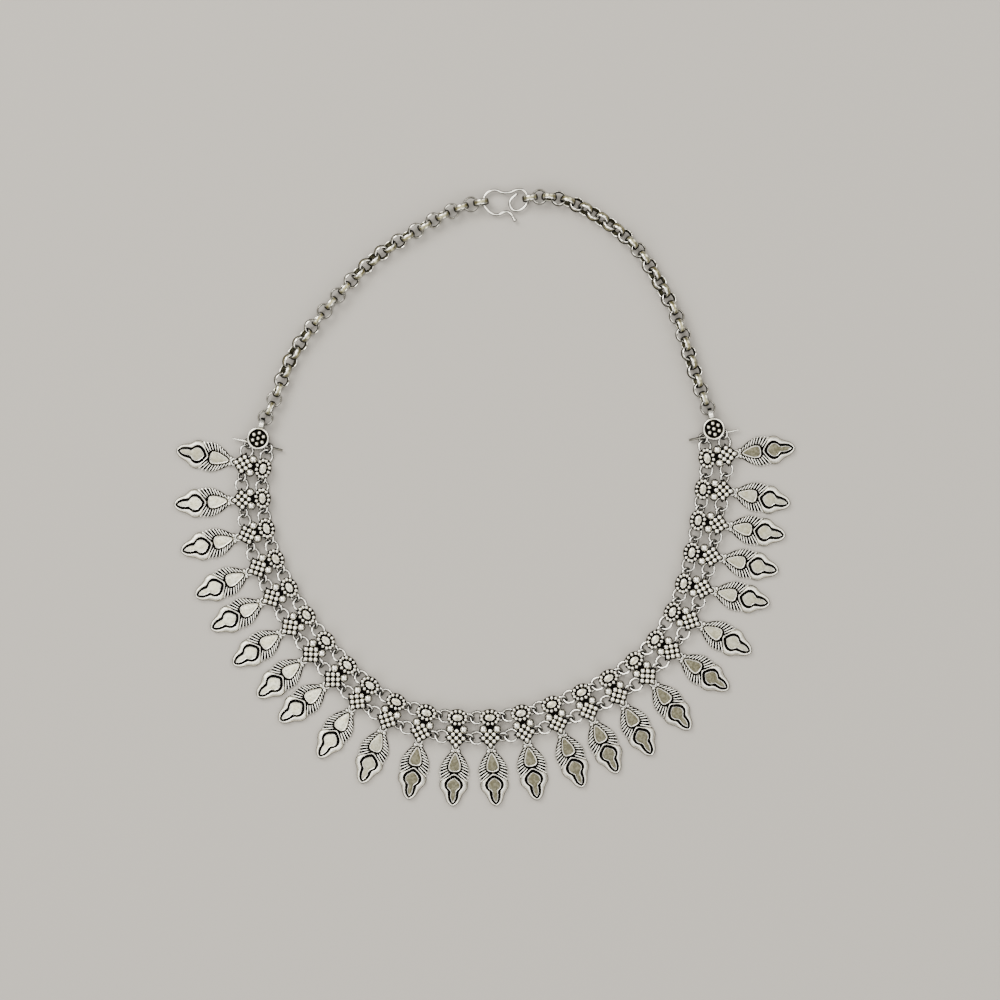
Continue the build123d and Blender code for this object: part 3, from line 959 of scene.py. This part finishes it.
@dataclass
class LeafDrop:
    """A cast leaf drop: fringed upper leaf with a teardrop field, and a bud with a heart field.

    Lengths are in millimetres, outlines are shares of the length and of half the width. A ridge has its
    distance along the leaf, its root and tip across it, and its slant in degrees. Its run gives place,
    breadth and height from root to tip, and its profile the same across.
    """

    length: float = 17.2
    width: float = 8.9
    start: float = 1.65
    plate: float = 0.6
    field_top: float = 1.35
    lip_top: float = 1.55
    groove_floor: float = 0.8
    ridge_rise: float = 0.42
    ridge_width: float = 0.53
    eyelet_radius: float = 0.95
    eyelet_wire: float = 0.58
    eye_height: float = 1.25
    inner_reach: float = 0.25
    fringe_inset: float = 0.06
    field_strips: int = 10
    collar_drop: float = 0.62
    collar_lobe: float = 0.86
    collar_ball: Spot = (0.80, 0.66, 0.76)
    collar_bar: Spot = (0.60, 0.44, 0.58)
    fringe_points: int = 96
    teardrop_points: int = 72
    bud_points: int = 112
    heart_points: int = 88
    ridge_dark: float = 0.20
    ridge_slim: float = 0.64
    ridge_growth: float = 1.5
    ridge_run: tuple[Spot, ...] = (
        (0.0, 0.85, 0.75), (0.12, 1.0, 1.0), (0.75, 0.95, 0.95), (0.94, 0.75, 0.72), (1.0, 0.40, 0.40))
    ridge_profile: tuple[Plan, ...] = (
        (-1.0, 0.0), (-0.86, 0.50), (-0.42, 0.94), (0.42, 0.94), (0.86, 0.50), (1.0, 0.0))
    fringe: Outline = field(default_factory=lambda: [
        (0.03, 0.0), (0.05, 0.30), (0.13, 0.58), (0.21, 0.78), (0.30, 0.91), (0.38, 0.95), (0.46, 0.91),
        (0.52, 0.78), (0.56, 0.0)])
    teardrop: Outline = field(default_factory=lambda: [
        (0.066, 0.0), (0.074, 0.09), (0.115, 0.19), (0.18, 0.30), (0.25, 0.40), (0.31, 0.435), (0.36, 0.41),
        (0.390, 0.30), (0.402, 0.17), (0.405, 0.0)])
    bud: Outline = field(default_factory=lambda: [
        (0.42, 0.0), (0.48, 0.36), (0.54, 0.80), (0.585, 0.93), (0.64, 0.95), (0.70, 0.89), (0.75, 0.74),
        (0.80, 0.61), (0.87, 0.51), (0.93, 0.40), (0.98, 0.20), (1.0, 0.0)])
    groove: Outline = field(default_factory=lambda: [
        (0.455, 0.0), (0.50, 0.33), (0.55, 0.53), (0.60, 0.62), (0.655, 0.61), (0.70, 0.52), (0.74, 0.385),
        (0.80, 0.355), (0.86, 0.325), (0.925, 0.215), (0.968, 0.0)])
    heart: Outline = field(default_factory=lambda: [
        (0.50, 0.0), (0.54, 0.26), (0.585, 0.42), (0.635, 0.47), (0.685, 0.42), (0.72, 0.29), (0.75, 0.20),
        (0.80, 0.21), (0.855, 0.19), (0.91, 0.11), (0.94, 0.0)])
    ridges: list[tuple[float, float, float, float]] = field(default_factory=lambda: [
        (0.072, 0.18, 0.44, 32), (0.122, 0.27, 0.62, 29), (0.172, 0.35, 0.78, 26), (0.222, 0.43, 0.91, 24),
        (0.272, 0.49, 0.99, 22), (0.322, 0.52, 1.03, 22), (0.368, 0.50, 1.04, 27), (0.404, 0.42, 1.01, 33),
        (0.430, 0.31, 0.95, 39)])

    def loop(self, outline: Outline, count: int) -> np.ndarray:
        """The closed loop of one of the outlines."""
        return smooth_loop(outline, self.length, self.width, self.start, count)

    def field_skin(self, shell: Shell, loop: np.ndarray, foot: float, depth: float, rise: float) -> None:
        """Adds a raised field with a bright edge and a soft crown.

        Args:
            shell: The shell to add to.
            loop: The field's outline.
            foot: Height that it rises from.
            depth: How far in the bright edge reaches.
            rise: Height of the crown.
        """
        top = self.field_top
        # The bright edge is wear and a painted highlight.
        edge = Row(at_height(inset(loop, depth), top - 0.06), 0.12, 0.0)
        shell.loft([*terraced(loop, [
            (0.0, foot, 1.0), (0.0, top - 0.40, 0.75), (depth * 0.12, top - 0.16, 0.05, 0.7),
            (depth * 0.50, top, 0.0, 1.0), (depth * 0.85, top - 0.02, 0.0, 0.8)]), edge], close_end=False)
        shell.crown(edge, rise, self.field_strips)

    def body(self) -> Mesh:
        """The casting without its fringe ridges.

        Returns:
            The mesh, in its own plan.
        """
        shell = Shell()
        plate, lip = self.plate, self.lip_top
        # Dark walls and hollows are patina and painted shade; bright rims are wear and painted highlights.
        shell.loft(terraced(inset(self.loop(self.fringe, self.fringe_points), self.fringe_inset), [
            (0.12, 0.0, 0.8), (0.0, 0.12, 0.75), (0.0, plate - 0.12, 0.70), (0.10, plate, 0.95),
            (0.22, plate - 0.04, 1.0)]))
        self.field_skin(shell, self.loop(self.teardrop, self.teardrop_points), plate - 0.1, 0.40, 0.16)
        bud, groove = (self.loop(outline, self.bud_points) for outline in (self.bud, self.groove))
        shell.loft([
            *terraced(bud, [(0.12, 0.0, 0.9), (0.0, 0.12, 0.85), (0.0, lip - 0.90, 0.85),
                            (0.12, lip - 0.62, 0.55), (0.22, lip - 0.40, 0.0, 0.95),
                            (0.36, lip - 0.22, 0.0, 0.70)]),
            Row(at_height(0.58 * bud + 0.42 * groove, lip - 0.06), 0.06, 0.42),
            *terraced(groove, [(-0.26, lip, 0.0, 0.65), (-0.12, lip, 0.0, 1.0),
                               (-0.02, lip - 0.08, 0.05, 1.0), (0.0, lip - 0.38, 0.95),
                               (0.05, self.groove_floor, 1.0)])])
        heart = self.loop(self.heart, self.heart_points)
        self.field_skin(shell, heart, self.groove_floor - 0.1, 0.30, 0.12)
        middle = -self.start - self.collar_drop
        for side in (-1, 1):
            shell.bead((side * self.collar_lobe, middle, self.collar_ball[2]), self.collar_ball)
        shell.bead((0.0, middle + 0.05, 0.60), self.collar_bar)
        eyelet = (0.0, -self.eyelet_radius, self.eye_height)
        shell.ring(eyelet, self.eyelet_radius, self.eyelet_wire, Facing.Z)
        return shell.mesh("leaf_body")

    def ridge(self) -> Mesh:
        """A fringe ridge of unit length along x, rounded across and sloping down to its tip.

        Returns:
            The mesh, from its root at the origin.
        """
        shell = Shell()
        half, foot = self.ridge_width / 2, self.plate - 0.1
        rows = []
        for along, taper, lift in self.ridge_run:
            loop = np.array([(along, side * half * taper, foot + (self.ridge_rise + 0.1) * lift * up)
                             for side, up in self.ridge_profile])
            rows.append(Row(loop))
        shell.loft(rows)
        # Low on the ridge: patina and painted shade; high: wear and a painted highlight.
        for index, point in enumerate(shell.points):
            low = point[2] < self.plate + self.ridge_dark
            shell.recess[index] = 0.95 if low else 0.0
            shell.crest[index] = 0.0 if low else 1.0
        return shell.mesh("leaf_ridge")

    def ridge_places(self, seat: Seat) -> list[Matrix]:
        """Places of one leaf's ridges in the frame.

        Args:
            seat: Where the leaf lies.

        Returns:
            From the pattern's millimetres to the frame's metres, for each.
        """
        places = []
        for along, root, tip, slant in self.ridges:
            reach = (tip - root) * self.width / 2 / math.cos(math.radians(slant))
            for side in (1, -1):
                angle = math.radians(-slant) if side > 0 else math.radians(180 + slant)
                spot = (side * root * self.width / 2, -self.start - along * self.length, 0.0)
                local = Matrix.Translation(spot)
                breadth = min(1.0, self.ridge_slim + self.ridge_growth * along)
                local = local @ Matrix.Rotation(angle, 4, "Z") @ Matrix.Diagonal((reach, breadth, 1.0, 1.0))
                places.append(seat.matrix @ local)
        return places


@dataclass
class RosettePlaque:
    """A granulated plaque: rosette round a boss, two balls and a diamond of grains, on five eyes.

    Lengths are in millimetres and the origin is the middle of the rosette. A square grain's profile gives
    height, half width, recess and crest from its foot up: the recess is patina and painted shade, the crest
    wear and a painted highlight.
    """

    bottom: float = 2.4
    top: float = 3.1
    rosette: Plan = (3.2, 2.55)
    boss: Spot = (1.55, 1.05, 0.75)
    petals: int = 12
    petal: float = 1.16
    petal_inset: float = 0.05
    petal_stretch: float = 1.06
    ball: float = 2.2
    ball_at: Plan = (2.05, -3.45)
    ball_rim: float = 0.14
    neck: Plan = (3.0, 6.1)
    neck_power: float = 8.0
    diamond_drop: float = 6.1
    diamond_side: float = 4.55
    diamond_power: float = 1.12
    grain: float = 1.38
    grain_power: float = 2.9
    grain_profile: tuple[tuple[float, ...], ...] = (
        (-0.12, 0.5, 1.0, 0.0), (0.08, 0.5, 0.60, 0.1), (0.28, 0.45, 0.0, 0.7), (0.41, 0.32, 0.0, 1.0),
        (0.47, 0.12, 0.0, 1.0))
    grain_points: int = 12
    rosette_points: int = 72
    diamond_points: int = 56
    neck_points: int = 48
    boss_points: int = 36
    ball_points: int = 24
    ball_rise: float = 0.40
    ball_back: Spot = (0.85, 0.85, 0.45)
    pitch: float = 1.5
    foot_drop: float = 2.78
    foot_grain: Spot = (0.72, 0.55, 0.70)
    upper_eye: float = 1.79
    lower_eye: float = 2.267
    hanger: float = 7.9
    eye_radius: float = 1.0
    eye_wire: float = 0.58
    eye_height: float = 1.29
    inner_reach: float = 2.55

    def _plate(self, shell: Shell, loop: np.ndarray, top: float) -> None:
        """Adds one flat field of the plate, dark with patina and painted shade within an edge lightened by
        wear and a painted highlight.

        Args:
            shell: The shell to add to.
            loop: The field's outline.
            top: Height of its face.
        """
        bottom = self.bottom
        shell.loft(terraced(loop, [
            (0.35, bottom, 0.8), (0.0, bottom + 0.35, 0.75), (0.0, top - 0.07, 0.55, 0.2), (0.08, top, 0.80),
            (0.22, top - 0.02, 1.0)]))

    def body(self) -> Mesh:
        """The plate, boss, balls and eyes, without the grains.

        Returns:
            The mesh, in its own plan.
        """
        shell = Shell()
        top, crown = self.top, self.top + self.boss[2]
        corner = self.diamond_side / math.sqrt(2)
        half_width, half_length = self.neck[0] / 2, self.neck[1] / 2
        diamond = ellipse(corner, corner, self.diamond_points, (0.0, -self.diamond_drop), self.diamond_power)
        neck = ellipse(half_width, half_length, self.neck_points, (0.0, -half_length), self.neck_power)
        self._plate(shell, ellipse(*self.rosette, self.rosette_points), top)
        self._plate(shell, diamond, top - 0.02)
        self._plate(shell, neck, top - 0.04)
        # The boss: dark foot as patina and painted shade, rim painted bright as a highlight and wear.
        shell.loft(terraced(ellipse(self.boss[0], self.boss[1], self.boss_points), [
            (0.0, top - 0.12, 1.0), (0.0, top + 0.20, 0.60), (0.05, crown - 0.46, 0.10, 0.6),
            (0.17, crown - 0.24, 0.0, 1.0), (0.30, crown - 0.15, 0.0, 1.0), (0.42, crown - 0.15, 0.16, 0.2),
            (0.62, crown - 0.08, 0.06, 0.1), (0.86, crown, 0.0, 0.2)]))
        for side in (-1, 1):
            spot = (side * self.ball_at[0], self.ball_at[1])
            radius = self.ball / 2
            shell.dome(spot, top, (radius, radius, self.ball * self.ball_rise), self.ball_points, rings=8)
            # A dark ring round each ball: patina in the joint and painted shade.
            rim = ellipse(radius + self.ball_rim, radius + self.ball_rim, self.ball_points, spot)
            shell.loft(terraced(rim, [(0.15, top - 0.45, 0.9), (0.0, top - 0.28, 0.9), (0.0, top - 0.12, 0.9),
                                      (0.10, top - 0.05, 1.0)]))
            for reach, drop in ((self.upper_eye, 0.0), (self.lower_eye, self.diamond_drop)):
                shell.ring((side * reach, -drop, self.eye_height), self.eye_radius, self.eye_wire, Facing.Y)
            shell.bead((*spot, top - 0.35), self.ball_back, around=14, rings=6)
        shell.ring((0.0, -self.hanger, self.eye_height), self.eye_radius, self.eye_wire, Facing.X)
        return shell.mesh("plaque_body")

    def grain_bead(self) -> Mesh:
        """A solid grain of unit diameter that stands on its foot.

        Returns:
            The mesh, its foot at the origin.
        """
        shell = Shell()
        # Dark foot as patina and painted shade; top painted bright as a highlight and wear.
        shell.dome((0.0, 0.0), 0.0, (0.5, 0.5, 0.46), around=10, rings=4, recess=1.0, clearing=2.5)
        return shell.mesh("grain_bead")

    def grain_square(self) -> Mesh:
        """A squarish grain of unit width that stands on its foot.

        Returns:
            The mesh, its foot at the origin.
        """
        shell = Shell()
        rows = []
        for height, width, recess, crest in self.grain_profile:
            loop = ellipse(width, width, self.grain_points, power=self.grain_power)
            rows.append(Row(at_height(loop, height), recess, crest))
        shell.loft(rows)
        return shell.mesh("grain_square")

    def round_places(self, seat: Seat) -> list[Matrix]:
        """Places of the petals and of the small grain at the diamond's foot.

        Args:
            seat: Where the plaque lies.

        Returns:
            From the pattern's millimetres to the frame's metres, for each.
        """
        places = []
        reach = self.petal / 2 + self.petal_inset
        for index in range(self.petals):
            angle = 2 * math.pi * (index + 0.5) / self.petals
            along, across = (half - reach for half in self.rosette)
            spot = (along * math.cos(angle), across * math.sin(angle), self.top)
            local = Matrix.Translation(spot) @ Matrix.Rotation(angle, 4, "Z")
            size = (self.petal * self.petal_stretch, self.petal, self.petal, 1.0)
            places.append(seat.matrix @ local @ Matrix.Diagonal(size))
        foot = Matrix.Translation((0.0, -self.diamond_drop - self.foot_drop, self.top))
        places.append(seat.matrix @ foot @ Matrix.Diagonal((*self.foot_grain, 1.0)))
        return places

    def square_places(self, seat: Seat) -> list[Matrix]:
        """Places of the nine grains of the diamond.

        Args:
            seat: Where the plaque lies.

        Returns:
            From the pattern's millimetres to the frame's metres, for each.
        """
        middle = Matrix.Translation((0.0, -self.diamond_drop, self.top))
        middle = middle @ Matrix.Rotation(math.pi / 4, 4, "Z")
        places = []
        for column in (-1, 0, 1):
            for line in (-1, 0, 1):
                local = middle @ Matrix.Translation((column * self.pitch, line * self.pitch, 0.0))
                places.append(seat.matrix @ local @ Matrix.Scale(self.grain, 4))
        return places


@dataclass(frozen=True)
class Loose:
    """One loose ring or link of a node.

    Attributes:
        centre: Its middle, in metres.
        axis: The direction that it turns about.
        reach: Its outer radius, in millimetres.
    """

    centre: Vector
    axis: Vector
    reach: float

    @property
    def place(self) -> Matrix:
        """From a pattern that turns about z, in millimetres, to this one's place in the frame."""
        turn = Vector((0.0, 0.0, 1.0)).rotation_difference(self.axis).to_matrix().to_4x4()
        return Matrix.Translation(self.centre) @ turn @ Matrix.Scale(MM, 4)


def loose_of(node: bpy.types.Object) -> list[Loose]:
    """The loose rings or links of a node, in no set order.

    Args:
        node: The frame's node.

    Returns:
        One entry for each loose solid.
    """
    copy = merged_copy(node)
    first, second = read(copy.edges, "vertices", 2, np.int64).T
    label = np.arange(len(copy.vertices))
    while True:
        lower = np.minimum(label[first], label[second])
        fresh = label.copy()
        np.minimum.at(fresh, first, lower)
        np.minimum.at(fresh, second, lower)
        fresh = fresh[fresh]
        if np.array_equal(fresh, label):
            break
        label = fresh
    centres, areas = triangles_of(copy)
    starts = read(copy.polygons, "loop_start", kind=np.int64)
    owner = label[read(copy.loops, "vertex_index", kind=np.int64)[starts]]
    spots = read(copy.vertices, "co", 3)
    found = []
    for mark in np.unique(owner):
        own = owner == mark
        middle = np.average(centres[own], axis=0, weights=areas[own])
        spread = np.cov((centres[own] - middle).T, aweights=areas[own])
        axis = np.linalg.eigh(spread)[1][:, 0]
        away = spots[label == mark] - middle
        flat = away - np.outer(away @ axis, axis)
        found.append(Loose(Vector(middle), Vector(axis), float(np.linalg.norm(flat, axis=1).max() / MM)))
    return found


def merged_copy(node: bpy.types.Object) -> Mesh:
    """A copy of a node's mesh with its doubles merged.

    Args:
        node: The frame's node.

    Returns:
        The copy, in metres.
    """
    copy = node.data.copy()
    work = bmesh.new()
    work.from_mesh(copy)
    bmesh.ops.remove_doubles(work, verts=work.verts, dist=DOUBLES)
    bmesh.ops.dissolve_degenerate(work, edges=work.edges, dist=SLIVERS)
    work.to_mesh(copy)
    work.free()
    return copy


@dataclass
class RingStrand:
    """A strand of jump rings in two sizes, in millimetres."""

    wire: float = 0.74
    small: float = 1.4
    large: float = 1.95
    solder_arc: float = 0.22
    solder_swell: float = 0.10
    # Painted shade up the sides of the wires.
    flank: float = 1.6

    def pattern(self, radius: float) -> Mesh:
        """A ring whose ends are soldered with a slight swelling.

        Args:
            radius: From its middle to the middle of the wire.

        Returns:
            The mesh, about the origin.
        """
        shell = Shell()
        shell.ring((0.0, 0.0, 0.0), radius, self.wire, Facing.Z, around=24, flank=0.0)
        for index, (x, y, z) in enumerate(shell.points):
            near = max(0.0, 1 - abs(math.atan2(y, x)) / self.solder_arc)
            reach = math.hypot(x, y)
            swell = 1 + self.solder_swell * near
            along = radius + (reach - radius) * swell
            shell.points[index] = (x / reach * along, y / reach * along, z * swell)
        return shell.mesh("jump_ring")

    def mesh(self, name: str, node: bpy.types.Object, tree: RepeatTree, material: bpy.types.Material) -> Mesh:
        """Every ring of a strand as one mesh.

        Args:
            name: Name of the mesh.
            node: The frame's node.
            tree: The tree that repeats the rings.
            material: The rings' material.

        Returns:
            The mesh, in the frame.
        """
        rings = loose_of(node)
        middle = (self.small + self.large + self.wire) / 2
        sizes = (("_small", self.small, [ring.place for ring in rings if ring.reach < middle]),
                 ("_large", self.large, [ring.place for ring in rings if ring.reach >= middle]))
        parts = [tree.run(name + end, self.pattern(radius), places, material)
                 for end, radius, places in sizes]
        return painted_flank_shade(joined(name, parts), self.flank)


@dataclass
class BelcherChain:
    """A chain of round links of half-round strip, in millimetres."""

    outer: float = 2.36
    wall: float = 0.52
    edge_wall: float = 0.36
    width: float = 1.8
    around: int = 26
    # Painted shade up the sides of the strip.
    flank: float = 1.0

    def pattern(self) -> Mesh:
        """One link, its back domed, its edges painted bright as wear and a highlight, its inside dark as
        patina and painted shade.

        Returns:
            The mesh, about the origin.
        """
        inner, half = self.outer - self.wall, self.width / 2
        edge = inner + self.edge_wall
        middle = inner + self.edge_wall / 2
        upper = [(inner, half - 0.26, 0.50, 0.0), (inner + 0.07, half - 0.08, 0.0, 0.9),
                 (middle, half, 0.0, 1.0), (edge, half - 0.09, 0.0, 1.0),
                 (self.outer - 0.05, half - 0.36, 0.0, 0.7), (self.outer, half * 0.3, 0.0, 0.2)]
        lower = [(reach, -height, recess, crest) for reach, height, recess, crest in reversed(upper)]
        profile = [*lower, (inner, 0.0, 0.50, 0.0), *upper]
        shell = Shell()
        for step in range(self.around):
            turn = 2 * math.pi * step / self.around
            for reach, height, recess, crest in profile:
                shell.put(np.array([[reach * math.cos(turn), reach * math.sin(turn), height]]), recess, crest)
        shell.wrap(0, self.around, len(profile))
        return shell.mesh("belcher_link")

    def mesh(self, name: str, node: bpy.types.Object, tree: RepeatTree, material: bpy.types.Material) -> Mesh:
        """Every link of a chain as one mesh.

        Args:
            name: Name of the mesh.
            node: The frame's node.
            tree: The tree that repeats the links.
            material: The links' material.

        Returns:
            The mesh, in the frame.
        """
        places = [link.place for link in loose_of(node)]
        return painted_flank_shade(tree.run(name, self.pattern(), places, material), self.flank)


@dataclass
class CastFitting:
    """A terminal or the hook: the node's own form, merged, smoothed and darkened where it is sheltered."""

    rays: int = 24
    reach: float = 0.0011
    clearance: float = 2e-5
    shelter_gain: float = 1.7
    # How bright open faces are painted: wear and a painted highlight.
    highlight_and_wear_most: float = 0.7
    highlight_and_wear_loss: float = 3.0
    # Painted shade up the sides.
    flank: float = 1.15

    def mesh(self, name: str, node: bpy.types.Object, seed: float, tarnish: float) -> Mesh:
        """A dressed copy of a node's mesh.

        Args:
            name: Name of the new mesh.
            node: The frame's node.
            seed: Grain seed.
            tarnish: How dull its metal is, 0 to 1.

        Returns:
            The mesh in metres.
        """
        mesh = merged_copy(node)
        mesh.name = name
        work = bmesh.new()
        work.from_mesh(mesh)
        tree = BVHTree.FromBMesh(work)
        fan = self.fan()
        sheltered, worn = [], []
        for vertex in work.verts:
            turn = Vector((0.0, 0.0, 1.0)).rotation_difference(vertex.normal)
            start = vertex.co + vertex.normal * self.clearance
            hits = sum(tree.ray_cast(start, turn @ ray, self.reach)[0] is not None for ray in fan)
            share = hits / self.rays
            # Sheltered points: patina and painted shade; open points, in worn: wear and a painted highlight.
            sheltered.append(min(1.0, share * self.shelter_gain))
            worn.append(max(0.0, self.highlight_and_wear_most - share * self.highlight_and_wear_loss))
        work.free()
        for label, values in ((RECESS, sheltered), (CREST, worn)):
            write(mesh, label, values)
        Bench.mark(mesh, GRAIN_SEED, seed)
        Bench.mark(mesh, TARNISH, tarnish)
        return painted_flank_shade(mesh, self.flank)

    def fan(self) -> list[Vector]:
        """Rays spread evenly over the half sphere above a face.

        Returns:
            Their directions, about z.
        """
        rays = []
        for index in range(self.rays):
            height = (index + 0.5) / self.rays
            turn = math.pi * (3 - math.sqrt(5)) * index
            flat = math.sqrt(1 - height ** 2)
            rays.append(Vector((flat * math.cos(turn), flat * math.sin(turn), height)))
        return rays


def painted_flank_shade(mesh: Mesh, strength: float) -> Mesh:
    """Paints shade up the sides of wire and strip, darker the further a face turns from facing up.

    Args:
        mesh: A mesh in the frame with its recess values.
        strength: Recess value, as painted shade, of a face that stands upright.

    Returns:
        The same mesh.
    """
    recess = read(mesh.attributes[RECESS].data, "value")
    side = np.clip(strength * (1.0 - read(mesh.vertex_normals, "vector", 3)[:, 2]), 0.0, 1.0)
    write(mesh, RECESS, np.maximum(recess, side))
    return mesh


def joined(name: str, meshes: list[Mesh]) -> Mesh:
    """Several meshes as one.

    Args:
        name: Name of the new mesh.
        meshes: The meshes to join.

    Returns:
        The new mesh.
    """
    work = bmesh.new()
    for mesh in meshes:
        work.from_mesh(mesh)
    made = bpy.data.meshes.new(name)
    work.to_mesh(made)
    work.free()
    return made


@dataclass
class Studio:
    """The pale floor, the soft lights and the camera, in metres."""

    middle: Plan = (0.00466, -0.00083)
    field_width: float = 0.300
    camera_height: float = 1.2
    sharp_height: float = 0.0015
    sensor: float = 36.0
    floor_reach: float = 2.0
    floor_height: float = -0.00003
    floor_colour: Spot = (0.44, 0.407, 0.351)
    floor_roughness: float = 0.9
    sky_colour: Spot = (0.92, 0.96, 1.0)
    sky_strength: float = 0.16
    lamps: tuple[tuple[str, Spot, float, float], ...] = (
        ("key", (-0.72, 0.80, 1.15), 1.05, 27.0), ("right", (0.85, 0.75, 1.15), 1.25, 13.0),
        ("left", (-0.85, -0.75, 1.15), 1.25, 12.0), ("front", (0.75, -0.85, 1.10), 1.25, 11.0),
        ("overhead", (0.0, 0.0, 2.0), 1.10, 13.0))

    def floor(self) -> None:
        """Lays a plain matt floor."""
        mesh = bpy.data.meshes.new("studio_floor")
        reach, height = self.floor_reach, self.floor_height
        corners = [(x * reach, y * reach, height) for x, y in ((-1, -1), (1, -1), (1, 1), (-1, 1))]
        mesh.from_pydata(corners, [], [(0, 1, 2, 3)])
        material = bpy.data.materials.new("studio_floor")
        material.use_nodes = True
        surface = material.node_tree.nodes["Principled BSDF"]
        surface.inputs["Base Color"].default_value = (*self.floor_colour, 1.0)
        surface.inputs["Roughness"].default_value = self.floor_roughness
        mesh.materials.append(material)
        made = bpy.data.objects.new("studio_floor", mesh)
        bpy.context.scene.collection.objects.link(made)

    def lights(self) -> None:
        """Sets four soft lamps round the necklace, the strongest at the upper left, and one overhead."""
        for name, spot, size, power in self.lamps:
            light = bpy.data.lights.new(name, "AREA")
            light.shape = "DISK"
            light.size = size
            light.energy = power
            lamp = bpy.data.objects.new(name, light)
            lamp.location = spot
            lamp.rotation_euler = Vector(spot).to_track_quat("Z", "Y").to_euler()
            bpy.context.scene.collection.objects.link(lamp)
        world = bpy.data.worlds.new("studio")
        world.use_nodes = True
        backdrop = world.node_tree.nodes["Background"]
        backdrop.inputs["Color"].default_value = (*self.sky_colour, 1.0)
        backdrop.inputs["Strength"].default_value = self.sky_strength
        bpy.context.scene.world = world

    def camera(self) -> None:
        """Looks straight down at the necklace."""
        lens = bpy.data.cameras.new("camera")
        lens.sensor_width = self.sensor
        lens.lens = self.sensor * (self.camera_height - self.sharp_height) / self.field_width
        eye = bpy.data.objects.new("camera", lens)
        eye.location = (*self.middle, self.camera_height)
        bpy.context.scene.collection.objects.link(eye)
        bpy.context.scene.camera = eye


@dataclass
class Necklace:
    """The whole collar: drops, plaques, strands, chains, terminals and hook."""

    bench: Bench
    tree: RepeatTree
    count: int = 25
    worn_drops: tuple[int, ...] = (1, 10, 20, 21, 22, 23, 24)
    dull_drops: tuple[int, ...] = (11, 12, 13, 14, 15, 16, 17, 18, 19, 25)
    leaf: LeafDrop = field(default_factory=LeafDrop)
    plaque: RosettePlaque = field(default_factory=RosettePlaque)
    strand: RingStrand = field(default_factory=RingStrand)
    chain: BelcherChain = field(default_factory=BelcherChain)
    fitting: CastFitting = field(default_factory=CastFitting)
    cap_seed: float = 0.41
    cap_tarnish: float = 0.25
    hook_seed: float = 0.77
    hook_tarnish: float = 0.6

    def wear_of(self, number: int) -> Wear:
        """How far a drop has dulled.

        Args:
            number: The drop's number along the collar.

        Returns:
            Its grade.
        """
        if number in self.dull_drops:
            return Wear.DULL
        return Wear.WORN if number in self.worn_drops else Wear.BRIGHT

    def drops(self, nodes: Nodes) -> None:
        """Makes the leaf drops and, as surface work on them, their fringe ridges.

        Args:
            nodes: The frame's nodes by name.
        """
        body = self.leaf.body()
        places: list[Matrix] = []
        for number in range(1, self.count + 1):
            node = f"leaf_{number:02d}"
            seat = Seat.of(nodes[node], self.leaf.inner_reach, number)
            mesh = Bench.seated(body, seat, node + "_relief")
            Bench.mark(mesh, TARNISH, self.wear_of(number).value)
            self.bench.piece(f"leaf_drop_{number:02d}", mesh, LEAF_SILVER, [node])
            places += self.leaf.ridge_places(seat)
        material = self.bench.smith.material(LEAF_SILVER)
        ridges = self.tree.run("leaf_fringe", self.leaf.ridge(), places, material,
                               uneven=0.05, seed=11)
        self.bench.piece("leaf_fringe", ridges, LEAF_SILVER, [])

    def plaques(self, nodes: Nodes) -> None:
        """Makes the plaques and, as surface work on them, their solid grains.

        Args:
            nodes: The frame's nodes by name.
        """
        body = self.plaque.body()
        rounds: list[Matrix] = []
        squares: list[Matrix] = []
        for number in range(1, self.count + 1):
            node = f"plaque_{number:02d}"
            seat = Seat.of(nodes[node], self.plaque.inner_reach, number)
            mesh = Bench.seated(body, seat, node + "_relief")
            self.bench.piece(f"rosette_plaque_{number:02d}", mesh, PLAQUE_SILVER, [node])
            rounds += self.plaque.round_places(seat)
            squares += self.plaque.square_places(seat)
        material = self.bench.smith.material(PLAQUE_SILVER)
        grains = [self.tree.run("petal_grains", self.plaque.grain_bead(), rounds, material,
                                uneven=0.10, seed=3),
                  self.tree.run("diamond_grains", self.plaque.grain_square(), squares, material,
                                uneven=0.08, seed=5)]
        self.bench.piece("plaque_grains", joined("plaque_grains", grains), PLAQUE_SILVER, [])

    def strands(self, nodes: Nodes) -> None:
        """Makes the two strands of jump rings.

        Args:
            nodes: The frame's nodes by name.
        """
        material = self.bench.smith.material(RING_SILVER)
        for node in ("upper_links", "lower_links"):
            mesh = self.strand.mesh(node + "_rings", nodes[node], self.tree, material)
            self.bench.piece(node + "_rings", mesh, RING_SILVER, [node])

    def chains(self, nodes: Nodes) -> None:
        """Makes the two belcher chains.

        Args:
            nodes: The frame's nodes by name.
        """
        material = self.bench.smith.material(CHAIN_SILVER)
        for side in Side:
            node = f"chain_{side.value}"
            mesh = self.chain.mesh(node + "_belcher", nodes[node], self.tree, material)
            self.bench.piece(node + "_belcher", mesh, CHAIN_SILVER, [node])

    def fittings(self, nodes: Nodes) -> None:
        """Makes the terminals and the hook.

        Args:
            nodes: The frame's nodes by name.
        """
        for side in Side:
            node = f"terminal_{side.value}"
            mesh = self.fitting.mesh(node + "_cap", nodes[node], self.cap_seed, self.cap_tarnish)
            self.bench.piece(node + "_cap", mesh, PLAQUE_SILVER, [node])
        hook = self.fitting.mesh("s_hook_wire", nodes["s_hook"], self.hook_seed, self.hook_tarnish)
        self.bench.piece("s_hook_wire", hook, RING_SILVER, ["s_hook"])


def main() -> None:
    """Builds the studio and then the necklace, piece by piece."""
    studio = Studio()
    studio.floor()
    studio.lights()
    studio.camera()
    bench = Bench(Silversmith())
    necklace = Necklace(bench, RepeatTree())
    nodes = frame["nodes"]
    necklace.drops(nodes)
    necklace.plaques(nodes)
    necklace.strands(nodes)
    necklace.chains(nodes)
    necklace.fittings(nodes)
    LOG.info("in all: %d triangles", bench.triangles)


if __name__ == "__main__":
    main()
